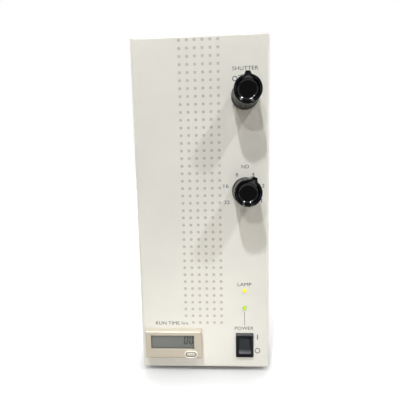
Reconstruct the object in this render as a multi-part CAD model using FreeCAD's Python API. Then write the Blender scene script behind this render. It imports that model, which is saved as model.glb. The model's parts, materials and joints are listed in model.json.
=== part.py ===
"""Bench fibre optic illuminator: lamp house with shutter, neutral-density selector and hour counter.

Frame: +X right seen from the front, +Y from the front panel to the rear panel, +Z up.
The origin is at the bottom centre of the whole instrument, on the surface that its feet stand on.
All sizes are in millimetres.
"""
import FreeCAD, Part
import math
import os

V = FreeCAD.Vector
X_AXIS = V(1, 0, 0)
Y_AXIS = V(0, 1, 0)
Z_AXIS = V(0, 0, 1)

# ---------------------------------------------------------------- driving dimensions
# Enclosure
CASE_WIDTH = 110.0
CASE_DEPTH = 290.0            # front face to the rear panel's outer face
PANEL_HEIGHT = 276.0
FOOT_STAND = 4.0              # the case's clearance above the bench
SHEET = 1.6                   # folded sheet of the front pan, cover and base
FRONT_RIM = 14.0              # depth of the front pan's turned-back rim
FRONT_SIDE_BEND = 3.0         # outer bend of the front pan's vertical edges
FRONT_TOP_BEND = 1.5          # outer bend of the front pan's top and bottom edges
CASE_CORNER = 2.0             # outer radius of the long edges
INNER_BEND = 0.1              # smallest radius inside a bend
REAR_PANEL = 2.0              # rear panel thickness
RAIL = 8.0                    # square corner rails
RAIL_ROUND = 1.0
# Fits and clearances
RUN_FIT = 0.05                # radial clearance of a turning or sliding fit
SEAT_FIT = 0.02               # radial clearance of parts that are fixed together
HOLE_FIT = 0.15               # radial clearance of a screw or bush in a sheet hole
BODY_GAP = 0.3                # smallest gap between parts that move past each other
CUT_PAST = 1.0                # how far a cutter reaches past the face that it opens
# Screws
SCREW_R = 1.5
SCREW_LENGTH = 7.0
SINK_R = 2.9
SINK_DEPTH = 1.4
PAN_HEAD_R = 2.9
PAN_HEAD = 1.9
PAN_HEAD_ROUND = 0.7
SIDE_SCREW_ROWS = 3
SIDE_SCREW_INSET = 12.0
BASE_SCREW_INSET = 50.0
# Vents
SLOT_WIDTH = 3.0
SLOT_LENGTH = 26.0
SLOT_PITCH = 8.0
SLOT_COLUMNS = 11
SLOT_FIRST_Y = 62.0           # from the front face
SLOT_ROWS_Z = (46.0, 82.0)    # above the panel's bottom edge
# Lamp hatch on the left side
HATCH_LENGTH = 92.0
HATCH_HEIGHT = 98.0
HATCH_CORNER = 4.0
HATCH_GAP = 0.4
LEDGE_WIDTH = 5.0
LEDGE_LAP = 6.0
LEDGE = 1.2
HATCH_SLOTS = 5
HATCH_SCREW_INSET = 2.6
# Feet
FOOT_R = 9.0
FOOT_TAPER = 1.0
FOOT_INSET_X = 15.0
FOOT_INSET_Y = 26.0
FOOT_WEB = 1.4
FOOT_SCREW_R = 2.0
FOOT_SCREW_HEAD_R = 3.6
FOOT_SCREW_HEAD = 1.8
FOOT_SCREW_LENGTH = 7.0
# Knobs
KNOB_INSET = 19.7             # knob axes from the panel's right edge
SHUTTER_DROP = 46.8           # shutter knob's axis below the panel's top edge
ND_DROP = 121.5
KNOB_R = 10.4
KNOB_SKIRT_R = 10.9
KNOB_SKIRT = 3.2
KNOB_SKIRT_SLOPE = 0.5
KNOB_REACH = 24.0             # from the panel's face to the rim's crown
KNOB_GAP = 0.6
KNOB_RIM_INNER_R = 7.2
KNOB_RIM_DROP = 1.6
KNOB_RIM_STEPS = 6
KNOB_FLUTES = 36
FLUTE_DEPTH = 0.5
FLUTE_HALF = 0.4              # half width of a flute at the knob's side
FLUTE_START = 1.0             # plain band left over the skirt
FLUTE_END = 2.6               # plain band left under the rim
KNOB_NUT_ROOM = 4.2           # depth of the hollow over the bush nut
KNOB_NUT_ROOM_R = 7.7
POINTER_TIP_R = 12.8
POINTER_TIP_HALF = 1.6
POINTER_ROOT_HALF = 2.6
POINTER_LAND_HALF = 4.8       # half width of the facet where it joins the rim
POINTER_LAND_Z = 6.4          # where the facet starts, from the knob's axis
POINTER_DROP = 0.56           # facet's edge below the rim's crown
POINTER_SLOPE = 1.1
POINTER_DEPTH = 9.0
POINTER_KEEL = 5.0
CAP_THICK = 3.2
CAP_DISH = 1.3
ND_POINTER_ANGLE = -25.0      # rest position at "4", clockwise from 12 o'clock
# Shafts and bushes
SHAFT_R = 3.0
SHOULDER_R = 4.4
SHOULDER = 3.0
BUSH_THREAD_R = 4.5
BUSH_FLANGE_R = 7.0
BUSH_FLANGE = 2.0
BUSH_BODY_R = 5.5
BUSH_LENGTH = 9.0
BUSH_NOSE = 3.0
NUT_FLATS = 12.0
NUT_THICK = 2.4
REAR_BUSH_R = 5.0
REAR_BUSH_FLANGE = 1.5
REAR_BUSH_NOSE = 1.0
# Bulkhead that carries the optics
BULKHEAD_Y = 224.0            # its front face, from the panel's face
BULKHEAD = 3.0
BULKHEAD_MARGIN = 0.4
BULKHEAD_TAB = 10.0
WINDOW_HALF = 34.0
WINDOW_BOTTOM = 20.0
WINDOW_TOP = 88.0
# Neutral-density gear train
GEAR_MODULE = 0.8
PRESSURE_ANGLE = 20.0
DEDENDUM = 1.25               # root depth in modules
DRIVE_TEETH = 30
IDLER_TEETH = 25
WHEEL_TEETH = 25
GEAR_THICK = 4.0
GEAR_BACKLASH = 0.16
GEAR_GAP = 0.5
TRAIN_ANGLE = 130.0           # line of centres, anticlockwise from +X
DRIVE_HUB_R = 6.0
DRIVE_HUB = 4.0
IDLER_PIN_R = 2.5
PIN_HEAD = 0.7
PIN_HEAD_EXTRA_R = 1.5
WHEEL_SPINDLE_R = 3.0
# Filter wheel
FILTER_PLACES = 6
OPEN_PLACE = 2                # the place without a filter, counted from the beam
FILTER_CIRCLE_R = 22.6
FILTER_R = 9.4
FILTER_THICK = 2.0
FILTER_SEAT = 2.4
FILTER_LEDGE = 0.9
WHEEL_RIM = 1.8
WHEEL_THICK = 4.0
WHEEL_GAP = 1.6
WHEEL_HUB_R = 7.0
AXIS_ANGLE = 125.8            # from the wheel's centre to the optical axis
NOTCH_R = 1.6
# Shutter
SHUTTER_THROW = 30.0
HUB_R = 7.0
HUB_LENGTH = 7.0
BLADE = 1.0
BLADE_R = 13.5
BLADE_ARM_HALF = 4.5
STOP_CIRCLE_R = 20.0
STOP_R = 1.5
BEAM_R = 12.0
# Lamp
ROD_CIRCLE_R = 30.0
ROD_R = 2.5
CARRIER_HALF = 35.0
CARRIER_CORNER = 7.0
CARRIER_THICK = 4.0
CARRIER_Y = 180.0
REFLECTOR_R = 25.0
REFLECTOR_DEPTH = 31.0
REFLECTOR_WALL = 2.0
REFLECTOR_STEPS = 5
REFLECTOR_FLANGE_R = 27.0
REFLECTOR_FLANGE = 2.2
NECK_R = 8.5
NECK_LENGTH = 9.0
BURNER_R = 5.0
BURNER_STEPS = 6
BURNER_STEM_R = 2.6
BURNER_LENGTH = 40.0
BURNER_BULB = 24.8            # bulb's centre from the stem's foot
SOCKET_R = 11.0
SOCKET_LENGTH = 16.0
SOCKET_GRIP = 6.0
GLASS_R = 15.0
GLASS_THICK = 3.0
GLASS_SEAT = 1.8
BAFFLE = 1.2
BAFFLE_START_Y = 132.0
BAFFLE_FLANGE = 10.0
BAFFLE_MARGIN = 7.5           # from the cover's inner face to its left edge
BAFFLE_RIGHT = 27.0           # from the optical axis to its right edge
# Hatch interlock
INTERLOCK_LENGTH = 12.0
INTERLOCK_WIDTH = 12.0
INTERLOCK_HEIGHT = 10.0
INTERLOCK_Y = 187.0
PLUNGER_R = 1.5
PLUNGER_GRIP = 5.0
# Light-guide port on the rear panel
PORT_REACH = 14.0
PORT_R = 15.0
PORT_FLANGE_R = 22.0
PORT_FLANGE = 3.0
PORT_INSERT = 18.0            # length inside the case
PORT_INSERT_R = 11.0
GUIDE_R = 5.0                 # radius of the light guide's end sleeve
GUIDE_FIT = 0.04
PORT_MOUTH_CHAMFER = 1.0
PORT_SCREW_CIRCLE_R = 18.5
CLAMP_SCREW_R = 2.0
CLAMP_HEAD_R = 5.0
CLAMP_HEAD = 8.0
CLAMP_NECK = 3.0
CLAMP_FLUTES = 12
CLAMP_FLUTE_R = 0.8
# Fan
FAN_SIZE = 80.0
FAN_THICK = 25.0
FAN_Z = 101.0                 # above the panel's bottom edge
FAN_DUCT_R = 38.0
FAN_HOLE_SPACING = 71.5
FAN_CORNER = 5.0
FAN_HUB_R = 17.0
FAN_BLADES = 7
FAN_TIP_GAP = 0.8
FAN_BLADE_THICK = 1.4
FAN_BLADE_PITCH = 38.0
FAN_ROTOR_HEIGHT = 19.0
FAN_STRUT = 3.0
FAN_MOTOR_R = 16.0
FAN_BEARING_R = 2.0
FAN_BEARING = 15.0
FAN_BLADE_INSET = 1.0         # blade ends inside the hub's ends
GUARD_WIRE = 1.6
GUARD_RINGS = 5
GUARD_RING_FIRST = 4.4
GUARD_RING_LAST = 36.0
GUARD_STAND = 3.0
GUARD_EAR_R = 3.6
FAN_SCREW_LENGTH = 30.0
# Mains inlet
INLET_Z = 34.0                # above the panel's bottom edge
INLET_FLANGE_W = 50.0
INLET_FLANGE_H = 34.0
INLET_FLANGE = 3.0
INLET_BODY_W = 28.0
INLET_BODY_H = 31.0
INLET_BODY = 22.0
INLET_RECESS_W = 24.0
INLET_RECESS_H = 16.4
INLET_RECESS_DEPTH = 17.0
INLET_RECESS_CUT = 4.2        # the two cut corners
INLET_RECESS_RISE = 5.6       # above the flange's middle
INLET_SCREW_SPACING = 40.0
PIN_WIDE = 2.0
PIN_HIGH = 4.0
PIN_REACH = 12.4
PIN_PITCH = 7.0
PIN_RISE = 2.0
FUSE_W = 23.0
FUSE_H = 7.2
FUSE_DEPTH = 16.0
FUSE_DROP = 9.8               # below the flange's middle
FUSE_FACE = 1.0
FUSE_FIT = 0.3
FUSE_WALL = 1.2
FUSE_GRIP = 11.5
FUSE_GRIP_R = 1.0
# Rocker switch
SWITCH_INSET = 20.95          # switch's middle from the panel's right edge
SWITCH_Z = 20.8
SWITCH_W = 15.0
SWITCH_H = 21.4
SWITCH_PROUD = 2.2
SWITCH_BEVEL = 1.0
SWITCH_BODY_W = 12.8
SWITCH_BODY_H = 19.0
SWITCH_BODY = 16.0
SWITCH_WELL_W = 10.4
SWITCH_WELL_H = 16.6
SWITCH_WELL = 9.0
ROCKER_SIDE_FIT = 0.3
ROCKER_END_FIT = 1.0
ROCKER_PROUD = 1.6            # rocker's middle above the panel's face
ROCKER_V = 1.3                # how far its ends stand above its waist
ROCKER_TILT = 9.0             # tilt at rest, switched on
ROCKER_AXIS_Y = 2.0           # behind the panel's face
ROCKER_SAG = 0.13
ROCKER_SIDE = 0.4             # where its ends stop, behind the pivot
ROCKER_END_SLOPE = 0.5
ROCKER_BELLY = 4.6
ROCKER_PIN_R = 1.0
ROCKER_PIN_GRIP = 0.7         # length of each pin end in the housing
# Hour counter
COUNTER_MARGIN = 4.1          # from the panel's left edge to the counter
COUNTER_Z = 23.7
COUNTER_W = 48.0
COUNTER_H = 24.0
COUNTER_PROUD = 5.8
COUNTER_BEVEL = 0.8
COUNTER_BODY_W = 44.8
COUNTER_BODY_H = 22.0
COUNTER_BODY = 42.0
LCD_X = -0.7                 # window's centre from the counter's centre
LCD_Z = 2.4
LCD_W = 37.0
LCD_H = 12.3
LCD_SINK = 1.2
LCD_GLASS = 1.5
LCD_LAP = 1.2
BUTTON_X = 14.9
BUTTON_Z = -8.4
BUTTON_W = 8.0
BUTTON_H = 3.4
BUTTON_PROUD = 0.5
BUTTON_BEVEL = 0.3
BUTTON_FIT = 0.3
BUTTON_TRAVEL = 0.8
# Indicators
LED_INSET = 20.7              # from the panel's right edge
LAMP_LED_Z = 69.5
POWER_LED_Z = 54.1
LED_R = 1.5
LED_DOME = 1.6
LED_STEPS = 4
LED_FLANGE_R = 1.95
LED_BODY = 5.0
BOARD_W = 14.0
BOARD_H = 34.0
BOARD = 1.6
STANDOFF_R = 2.5
STANDOFF_INSET = 3.2
# Supply
BALLAST_W = 80.0
BALLAST_H = 58.0
BALLAST_START_Y = 62.0
BALLAST_LENGTH = 138.0
BALLAST_ROUND = 3.0
BALLAST_FINS = 7
FIN_THICK = 2.0
FIN_HEIGHT = 8.0
IGNITER_W = 50.0
IGNITER_H = 44.0
IGNITER_DEPTH = 30.0
IGNITER_GAP = 9.0             # below the baffle's flange
IGNITER_ROUND = 2.0

# ---------------------------------------------------------------- worked-out places
FRONT = -(CASE_DEPTH + PORT_REACH - KNOB_REACH) / 2.0
BOTTOM = FOOT_STAND
TOP = FOOT_STAND + PANEL_HEIGHT
HALF = CASE_WIDTH / 2.0
REAR = FRONT + CASE_DEPTH
REAR_INNER = REAR - REAR_PANEL
PANEL_BACK = FRONT + SHEET
INNER_HALF = HALF - SHEET
RAIL_X = INNER_HALF - RAIL / 2.0
RAIL_TOP_Z = TOP - SHEET - RAIL / 2.0
RAIL_LOW_Z = BOTTOM + SHEET + RAIL / 2.0
BULK_FRONT = FRONT + BULKHEAD_Y
BULK_REAR = BULK_FRONT + BULKHEAD

DRIVE_R = GEAR_MODULE * DRIVE_TEETH / 2.0
IDLER_R = GEAR_MODULE * IDLER_TEETH / 2.0
WHEEL_GEAR_R = GEAR_MODULE * WHEEL_TEETH / 2.0
KNOB_X = HALF - KNOB_INSET
LED_X = HALF - LED_INSET
ND_AXIS = (KNOB_X, TOP - ND_DROP)
SHUTTER_AXIS = (KNOB_X, TOP - SHUTTER_DROP)


def polar(centre, radius, angle):
    """Point (x, z) at a radius and an angle in degrees, anticlockwise from +X seen from the front."""
    turn = math.radians(angle)
    return (centre[0] + radius * math.cos(turn), centre[1] + radius * math.sin(turn))


IDLER_AXIS = polar(ND_AXIS, DRIVE_R + IDLER_R, TRAIN_ANGLE)
WHEEL_AXIS = polar(IDLER_AXIS, IDLER_R + WHEEL_GEAR_R, TRAIN_ANGLE)
OPTICAL_AXIS = polar(WHEEL_AXIS, FILTER_CIRCLE_R, AXIS_ANGLE)
ARM_LENGTH = math.hypot(OPTICAL_AXIS[0] - SHUTTER_AXIS[0], OPTICAL_AXIS[1] - SHUTTER_AXIS[1])
ARM_ANGLE = math.degrees(
    math.atan2(OPTICAL_AXIS[1] - SHUTTER_AXIS[1], OPTICAL_AXIS[0] - SHUTTER_AXIS[0])
)
GEAR_Y = BULK_REAR + REAR_BUSH_NOSE + GEAR_GAP
WHEEL_Y = GEAR_Y + GEAR_THICK + WHEEL_GAP
WHEEL_R = FILTER_CIRCLE_R + FILTER_R + WHEEL_RIM
BUSH_REAR = PANEL_BACK + BUSH_LENGTH
HATCH_Y = FRONT + CARRIER_Y - REFLECTOR_DEPTH / 2.0
HATCH_Z = OPTICAL_AXIS[1]
HATCH_INNER_X = -HALF + SHEET - BODY_GAP
BAFFLE_TOP = HATCH_Z - HATCH_HEIGHT / 2.0 + LEDGE_WIDTH
BAFFLE_START_X = -INNER_HALF + BAFFLE_MARGIN
FAN_AXIS = (0.0, BOTTOM + FAN_Z)
INLET = (0.0, BOTTOM + INLET_Z)
SWITCH = (HALF - SWITCH_INSET, BOTTOM + SWITCH_Z)
COUNTER = (-HALF + COUNTER_MARGIN + COUNTER_W / 2.0, BOTTOM + COUNTER_Z)


# ---------------------------------------------------------------- shape helpers
def block(low, high):
    """Box between two corners."""
    return Part.makeBox(high[0] - low[0], high[1] - low[1], high[2] - low[2], V(*low))


def soft_block(low, high, radius, axis):
    """Box with its four edges along one axis rounded."""
    body = block(low, high)
    edges = []
    for edge in body.Edges:
        span = edge.Vertexes[1].Point - edge.Vertexes[0].Point
        if abs(span.dot(axis)) > 0.5 * span.Length:
            edges.append(edge)
    return body.makeFillet(radius, edges)


def rod(centre, radius, start, end):
    """Cylinder along Y at (x, z)."""
    return Part.makeCylinder(radius, end - start, V(centre[0], start, centre[1]), Y_AXIS)


def tube(centre, outer, inner, start, end):
    """Tube along Y at (x, z)."""
    return rod(centre, outer, start, end).cut(rod(centre, inner, start, end))


def prism(points, start, end):
    """Straight-sided outline in X and Z, extruded along Y."""
    corners = [V(x, start, z) for x, z in points]
    face = Part.Face(Part.makePolygon(corners + corners[:1]))
    return face.extrude(V(0, end - start, 0))


def turned(profile, centre):
    """Closed profile of (y, radius) points turned about a Y axis at (x, z)."""
    corners = [V(radius, y, 0) for y, radius in profile]
    face = Part.Face(Part.makePolygon(corners + corners[:1]))
    body = face.revolve(V(0, 0, 0), Y_AXIS, 360)
    body.translate(V(centre[0], 0, centre[1]))
    return body


def arc(first, middle, last):
    """Edge through three (x, y) points in the plane z = 0."""
    return Part.Arc(V(*first, 0), V(*middle, 0), V(*last, 0)).toShape()


def line(first, last):
    """Straight edge between two (x, y) points in the plane z = 0."""
    return Part.LineSegment(V(*first, 0), V(*last, 0)).toShape()


def turned_edges(edges, centre):
    """Closed chain of edges in (radius, y), turned about a Y axis at (x, z)."""
    body = Part.Face(Part.Wire(edges)).revolve(V(0, 0, 0), Y_AXIS, 360)
    body.translate(V(centre[0], 0, centre[1]))
    return body


def ellipse_steps(centre, size, first, last, steps):
    """Profile points (y, radius) on an ellipse, from one angle to another in degrees."""
    points = []
    for i in range(steps + 1):
        angle = math.radians(first + (last - first) * i / steps)
        points.append((centre[0] + size[0] * math.sin(angle), centre[1] + size[1] * math.cos(angle)))
    return points


def slot_prism(centre, width, length, start, end):
    """Upright slot with round ends, cut along X from start to end; centre is (y, z)."""
    radius = width / 2.0
    reach = length / 2.0 - radius
    y, z = centre
    body = block((start, y - radius, z - reach), (end, y + radius, z + reach))
    for way in (-1, 1):
        base = V(start, y, z + way * reach)
        body = body.fuse(Part.makeCylinder(radius, end - start, base, X_AXIS))
    return body


def group(shapes):
    """Separate solids kept in one node."""
    return Part.makeCompound(shapes)


def about_y(body, centre, angle):
    """Turn a body about a Y axis at (x, z), anticlockwise seen from the front."""
    turned_body = body.copy()
    turned_body.rotate(V(centre[0], 0, centre[1]), V(0, -1, 0), angle)
    return turned_body


def sunk_screw(point, way):
    """Countersunk screw whose head is flush at a point; way is the direction it is driven in."""
    head = Part.makeCone(SINK_R, SCREW_R, SINK_DEPTH, point, way)
    return head.fuse(Part.makeCylinder(SCREW_R, SCREW_LENGTH, point, way))


def sunk_hole(point, way):
    """Clearance for a countersunk screw."""
    back = point - way * HOLE_FIT
    head = Part.makeCone(SINK_R + 2 * HOLE_FIT, SCREW_R + HOLE_FIT, SINK_DEPTH + HOLE_FIT, back, way)
    return head.fuse(Part.makeCylinder(SCREW_R + HOLE_FIT, SCREW_LENGTH + CUT_PAST, point, way))


def pan_screw(point, way, length):
    """Screw with a domed head that sits on a face at a point."""
    shank = Part.makeCylinder(SCREW_R, length, point, way)
    head = Part.makeCylinder(PAN_HEAD_R, PAN_HEAD, point, way * -1)
    top = [e for e in head.Edges if abs((e.BoundBox.Center - point).dot(way) + PAN_HEAD) < 0.01]
    head = head.makeChamfer(PAN_HEAD_ROUND, top[:1])
    return head.fuse(shank)


# ---------------------------------------------------------------- fastener places
def side_screw_places():
    """Point on the case side and driving direction of each countersunk side screw."""
    first = FRONT + FRONT_RIM + SIDE_SCREW_INSET
    last = REAR_INNER - SIDE_SCREW_INSET
    step = (last - first) / (SIDE_SCREW_ROWS - 1)
    along = [FRONT + FRONT_RIM / 2.0] + [first + step * i for i in range(SIDE_SCREW_ROWS)]
    places = []
    for side in (-1, 1):
        for z in (RAIL_LOW_Z, RAIL_TOP_Z):
            for y in along:
                places.append((V(side * HALF, y, z), V(-side, 0, 0)))
    return places


def base_screw_places():
    """Countersunk screws that hold the base plate up to the lower rails."""
    first = FRONT + FRONT_RIM + BASE_SCREW_INSET
    last = REAR_INNER - BASE_SCREW_INSET
    return [(V(side * RAIL_X, y, BOTTOM), Z_AXIS) for side in (-1, 1) for y in (first, last)]


def rail_places():
    """Centre (x, z) of each corner rail."""
    return [(side * RAIL_X, z) for side in (-1, 1) for z in (RAIL_LOW_Z, RAIL_TOP_Z)]


def foot_places():
    """Centre (x, y) of each foot."""
    x = HALF - FOOT_INSET_X
    return [(side * x, y) for side in (-1, 1) for y in (FRONT + FOOT_INSET_Y, REAR - FOOT_INSET_Y)]


def port_screw_places():
    """Centre (x, z) of the three screws in the light-guide collar's flange."""
    return [polar(OPTICAL_AXIS, PORT_SCREW_CIRCLE_R, angle) for angle in (30.0, 150.0, 270.0)]


def fan_hole_places():
    """Centre (x, z) of the fan's four screws."""
    half = FAN_HOLE_SPACING / 2.0
    return [(FAN_AXIS[0] + i * half, FAN_AXIS[1] + j * half) for i in (-1, 1) for j in (-1, 1)]


def inlet_screw_places():
    """Centre (x, z) of the inlet's two screws."""
    half = INLET_SCREW_SPACING / 2.0
    return [(INLET[0] + side * half, INLET[1]) for side in (-1, 1)]


def lamp_rod_places():
    """Centre (x, z) of the three rods between the bulkhead and the lamp carrier."""
    return [polar(OPTICAL_AXIS, ROD_CIRCLE_R, angle) for angle in (90.0, 180.0, 270.0)]


def hatch_screw_places():
    """Centre (y, z) of the two hatch screws."""
    reach = HATCH_HEIGHT / 2.0 - HATCH_SCREW_INSET - SINK_R
    return [(HATCH_Y, HATCH_Z + way * reach) for way in (-1, 1)]


# ---------------------------------------------------------------- enclosure
def pan_solid(inset, start):
    """Front pan's outer form, or its hollow when inset by the sheet."""
    end = FRONT + FRONT_RIM + inset
    low = (-HALF + inset, start, BOTTOM + inset)
    high = (HALF - inset, end + FRONT_RIM, TOP - inset)
    body = soft_block(low, high, FRONT_SIDE_BEND - inset, Z_AXIS)
    body = body.common(soft_block(low, high, max(FRONT_TOP_BEND - inset, INNER_BEND), X_AXIS))
    body = body.common(soft_block(low, high, max(CASE_CORNER - inset, INNER_BEND), Y_AXIS))
    return body.cut(block((low[0], end, low[2]), (high[0], end + 2 * FRONT_RIM, high[2])))


def front_panel():
    """Front pan: face plate with a turned-back rim, bored for the controls."""
    body = pan_solid(0.0, FRONT).cut(pan_solid(SHEET, PANEL_BACK))
    through = (FRONT - CUT_PAST, PANEL_BACK + CUT_PAST)
    for centre in (SHUTTER_AXIS, ND_AXIS):
        body = body.cut(rod(centre, BUSH_THREAD_R + HOLE_FIT, *through))
    for z in (LAMP_LED_Z, POWER_LED_Z):
        body = body.cut(rod((LED_X, BOTTOM + z), LED_R + HOLE_FIT, *through))
    body = body.cut(cutout(SWITCH, SWITCH_BODY_W, SWITCH_BODY_H, through))
    body = body.cut(cutout(COUNTER, COUNTER_BODY_W, COUNTER_BODY_H, through))
    for point, way in side_screw_places():
        if point.y < FRONT + FRONT_RIM:
            body = body.cut(sunk_hole(point, way))
    return body


def cutout(centre, width, height, span):
    """Rectangular panel cut-out with the sheet-hole clearance."""
    half_w = width / 2.0 + HOLE_FIT
    half_h = height / 2.0 + HOLE_FIT
    low = (centre[0] - half_w, span[0], centre[1] - half_h)
    high = (centre[0] + half_w, span[1], centre[1] + half_h)
    return block(low, high)


def case_cover():
    """Folded cover: top and both sides, with vents, the hatch opening and its ledge."""
    start = FRONT + FRONT_RIM
    low = (-HALF, start, BOTTOM - CASE_CORNER)
    outer = soft_block(low, (HALF, REAR_INNER, TOP), CASE_CORNER, Y_AXIS)
    low = (-INNER_HALF, start - CUT_PAST, BOTTOM - 2 * CASE_CORNER)
    inner = soft_block(low, (INNER_HALF, REAR_INNER + CUT_PAST, TOP - SHEET), CASE_CORNER - SHEET, Y_AXIS)
    body = outer.cut(inner)
    body = body.cut(block((-CASE_WIDTH, start - CUT_PAST, 0.0), (CASE_WIDTH, REAR, BOTTOM)))
    through = (-CASE_WIDTH, CASE_WIDTH)
    slots = [slot_prism(place, SLOT_WIDTH, SLOT_LENGTH, *through) for place in vent_places()]
    body = body.cut(Part.makeCompound(slots))
    half_l = HATCH_LENGTH / 2.0 + HATCH_GAP
    half_h = HATCH_HEIGHT / 2.0 + HATCH_GAP
    body = body.cut(hatch_outline(half_l, half_h, HATCH_CORNER, -HALF - CUT_PAST, -INNER_HALF))
    ledge_x = -INNER_HALF + LEDGE
    ledge = hatch_outline(half_l + LEDGE_LAP, half_h + LEDGE_LAP, HATCH_CORNER, -INNER_HALF, ledge_x)
    way_in_x = (-HALF, ledge_x + CUT_PAST)
    way_in = hatch_outline(half_l - LEDGE_WIDTH, half_h - LEDGE_WIDTH, HATCH_CORNER, *way_in_x)
    body = body.fuse(ledge.cut(way_in))
    for y, z in hatch_screw_places():
        hole = Part.makeCylinder(SCREW_R + BODY_GAP, 2 * LEDGE + SHEET, V(-HALF, y, z), X_AXIS)
        body = body.cut(hole)
    for point, way in side_screw_places():
        if point.y > start:
            body = body.cut(sunk_hole(point, way))
    return body


def vent_places():
    """Centre (y, z) of each vent slot in the cover's sides."""
    places = []
    for row in SLOT_ROWS_Z:
        for i in range(SLOT_COLUMNS):
            places.append((FRONT + SLOT_FIRST_Y + i * SLOT_PITCH, BOTTOM + row))
    return places


def hatch_outline(half_l, half_h, corner, start, end):
    """Rounded rectangle about the hatch's centre, along X."""
    low = (start, HATCH_Y - half_l, HATCH_Z - half_h)
    return soft_block(low, (end, HATCH_Y + half_l, HATCH_Z + half_h), corner, X_AXIS)


def lamp_hatch():
    """Hatch plate over the lamp, with its own vents."""
    body = hatch_outline(HATCH_LENGTH / 2.0, HATCH_HEIGHT / 2.0, HATCH_CORNER, -HALF, HATCH_INNER_X)
    first = HATCH_Y - (HATCH_SLOTS - 1) * SLOT_PITCH / 2.0
    for i in range(HATCH_SLOTS):
        place = (first + i * SLOT_PITCH, HATCH_Z)
        span = (-HALF - CUT_PAST, HATCH_INNER_X + CUT_PAST)
        body = body.cut(slot_prism(place, SLOT_WIDTH, SLOT_LENGTH, *span))
    for y, z in hatch_screw_places():
        body = body.cut(sunk_hole(V(-HALF, y, z), X_AXIS))
    return body


def hatch_screws():
    """Two screws that hold the hatch on its ledge."""
    return group([sunk_screw(V(-HALF, y, z), X_AXIS) for y, z in hatch_screw_places()])


def base_plate():
    """Floor of the case, drilled for the feet."""
    body = block((-INNER_HALF, FRONT + FRONT_RIM, BOTTOM), (INNER_HALF, REAR_INNER, BOTTOM + SHEET))
    for x, y in foot_places():
        hole = Part.makeCylinder(FOOT_SCREW_R + HOLE_FIT, 3 * SHEET, V(x, y, BOTTOM - SHEET), Z_AXIS)
        body = body.cut(hole)
    for point, way in base_screw_places():
        body = body.cut(sunk_hole(point, way))
    return body


def rear_panel():
    """Rear plate, bored for the fan, light-guide port, mains inlet and screws."""
    low = (-HALF, REAR_INNER, BOTTOM)
    body = soft_block(low, (HALF, REAR, TOP), CASE_CORNER, Y_AXIS)
    span = (REAR_INNER - CUT_PAST, REAR + CUT_PAST)
    body = body.cut(rod(FAN_AXIS, FAN_DUCT_R, *span))
    for centre in fan_hole_places() + rail_places() + port_screw_places() + inlet_screw_places():
        body = body.cut(rod(centre, SCREW_R + HOLE_FIT, *span))
    body = body.cut(rod(OPTICAL_AXIS, PORT_INSERT_R + HOLE_FIT, *span))
    body = body.cut(cutout(INLET, INLET_BODY_W, INLET_BODY_H, span))
    return body


def chassis_rails():
    """Four corner rails that tie the front pan, bulkhead and rear panel together."""
    rails = []
    for x, z in rail_places():
        low = (x - RAIL / 2.0, FRONT + FRONT_SIDE_BEND, z - RAIL / 2.0)
        rail = soft_block(low, (x + RAIL / 2.0, REAR_INNER, z + RAIL / 2.0), RAIL_ROUND, Y_AXIS)
        rail = rail.cut(rod((x, z), SCREW_R + SEAT_FIT, REAR_INNER - SCREW_LENGTH - CUT_PAST, REAR_INNER))
        rails.append(rail)
    holes = bulkhead_tab_holes()
    for point, way in side_screw_places() + base_screw_places():
        holes.append(Part.makeCylinder(SCREW_R + SEAT_FIT, SCREW_LENGTH + BODY_GAP, point, way))
    drill = Part.makeCompound(holes)
    return group([rail.cut(drill) for rail in rails])


def case_screws():
    """Countersunk screws through the sides and the base into the rails."""
    places = side_screw_places() + base_screw_places()
    return group([sunk_screw(point, way) for point, way in places])


def rear_panel_screws():
    """Pan-head screws of the rear panel, the port flange and the inlet."""
    screws = [pan_screw(V(x, REAR, z), V(0, -1, 0), SCREW_LENGTH) for x, z in rail_places()]
    for x, z in port_screw_places():
        screws.append(pan_screw(V(x, REAR + PORT_FLANGE, z), V(0, -1, 0), SCREW_LENGTH))
    for x, z in inlet_screw_places():
        screws.append(pan_screw(V(x, REAR + INLET_FLANGE, z), V(0, -1, 0), SCREW_LENGTH))
    return group(screws)


def rubber_feet():
    """Four round feet with a hollow for their screws."""
    feet = []
    for x, y in foot_places():
        foot = Part.makeCone(FOOT_R - FOOT_TAPER, FOOT_R, FOOT_STAND, V(x, y, 0), Z_AXIS)
        foot = foot.cut(Part.makeCylinder(FOOT_SCREW_R + SEAT_FIT, FOOT_STAND, V(x, y, 0), Z_AXIS))
        sink_r = FOOT_SCREW_HEAD_R + BODY_GAP
        foot = foot.cut(Part.makeCylinder(sink_r, FOOT_STAND - FOOT_WEB, V(x, y, 0), Z_AXIS))
        feet.append(foot)
    return group(feet)


def foot_screws():
    """Screws that hold the feet to the base."""
    screws = []
    for x, y in foot_places():
        seat = V(x, y, FOOT_STAND - FOOT_WEB)
        head = Part.makeCylinder(FOOT_SCREW_HEAD_R, FOOT_SCREW_HEAD, seat, Z_AXIS * -1)
        screws.append(head.fuse(Part.makeCylinder(FOOT_SCREW_R, FOOT_SCREW_LENGTH, seat, Z_AXIS)))
    return group(screws)


# ---------------------------------------------------------------- knobs, shafts and bushes
def stand(distance):
    """Y of a point that stands proud of the front panel by a distance."""
    return FRONT - distance


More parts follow.
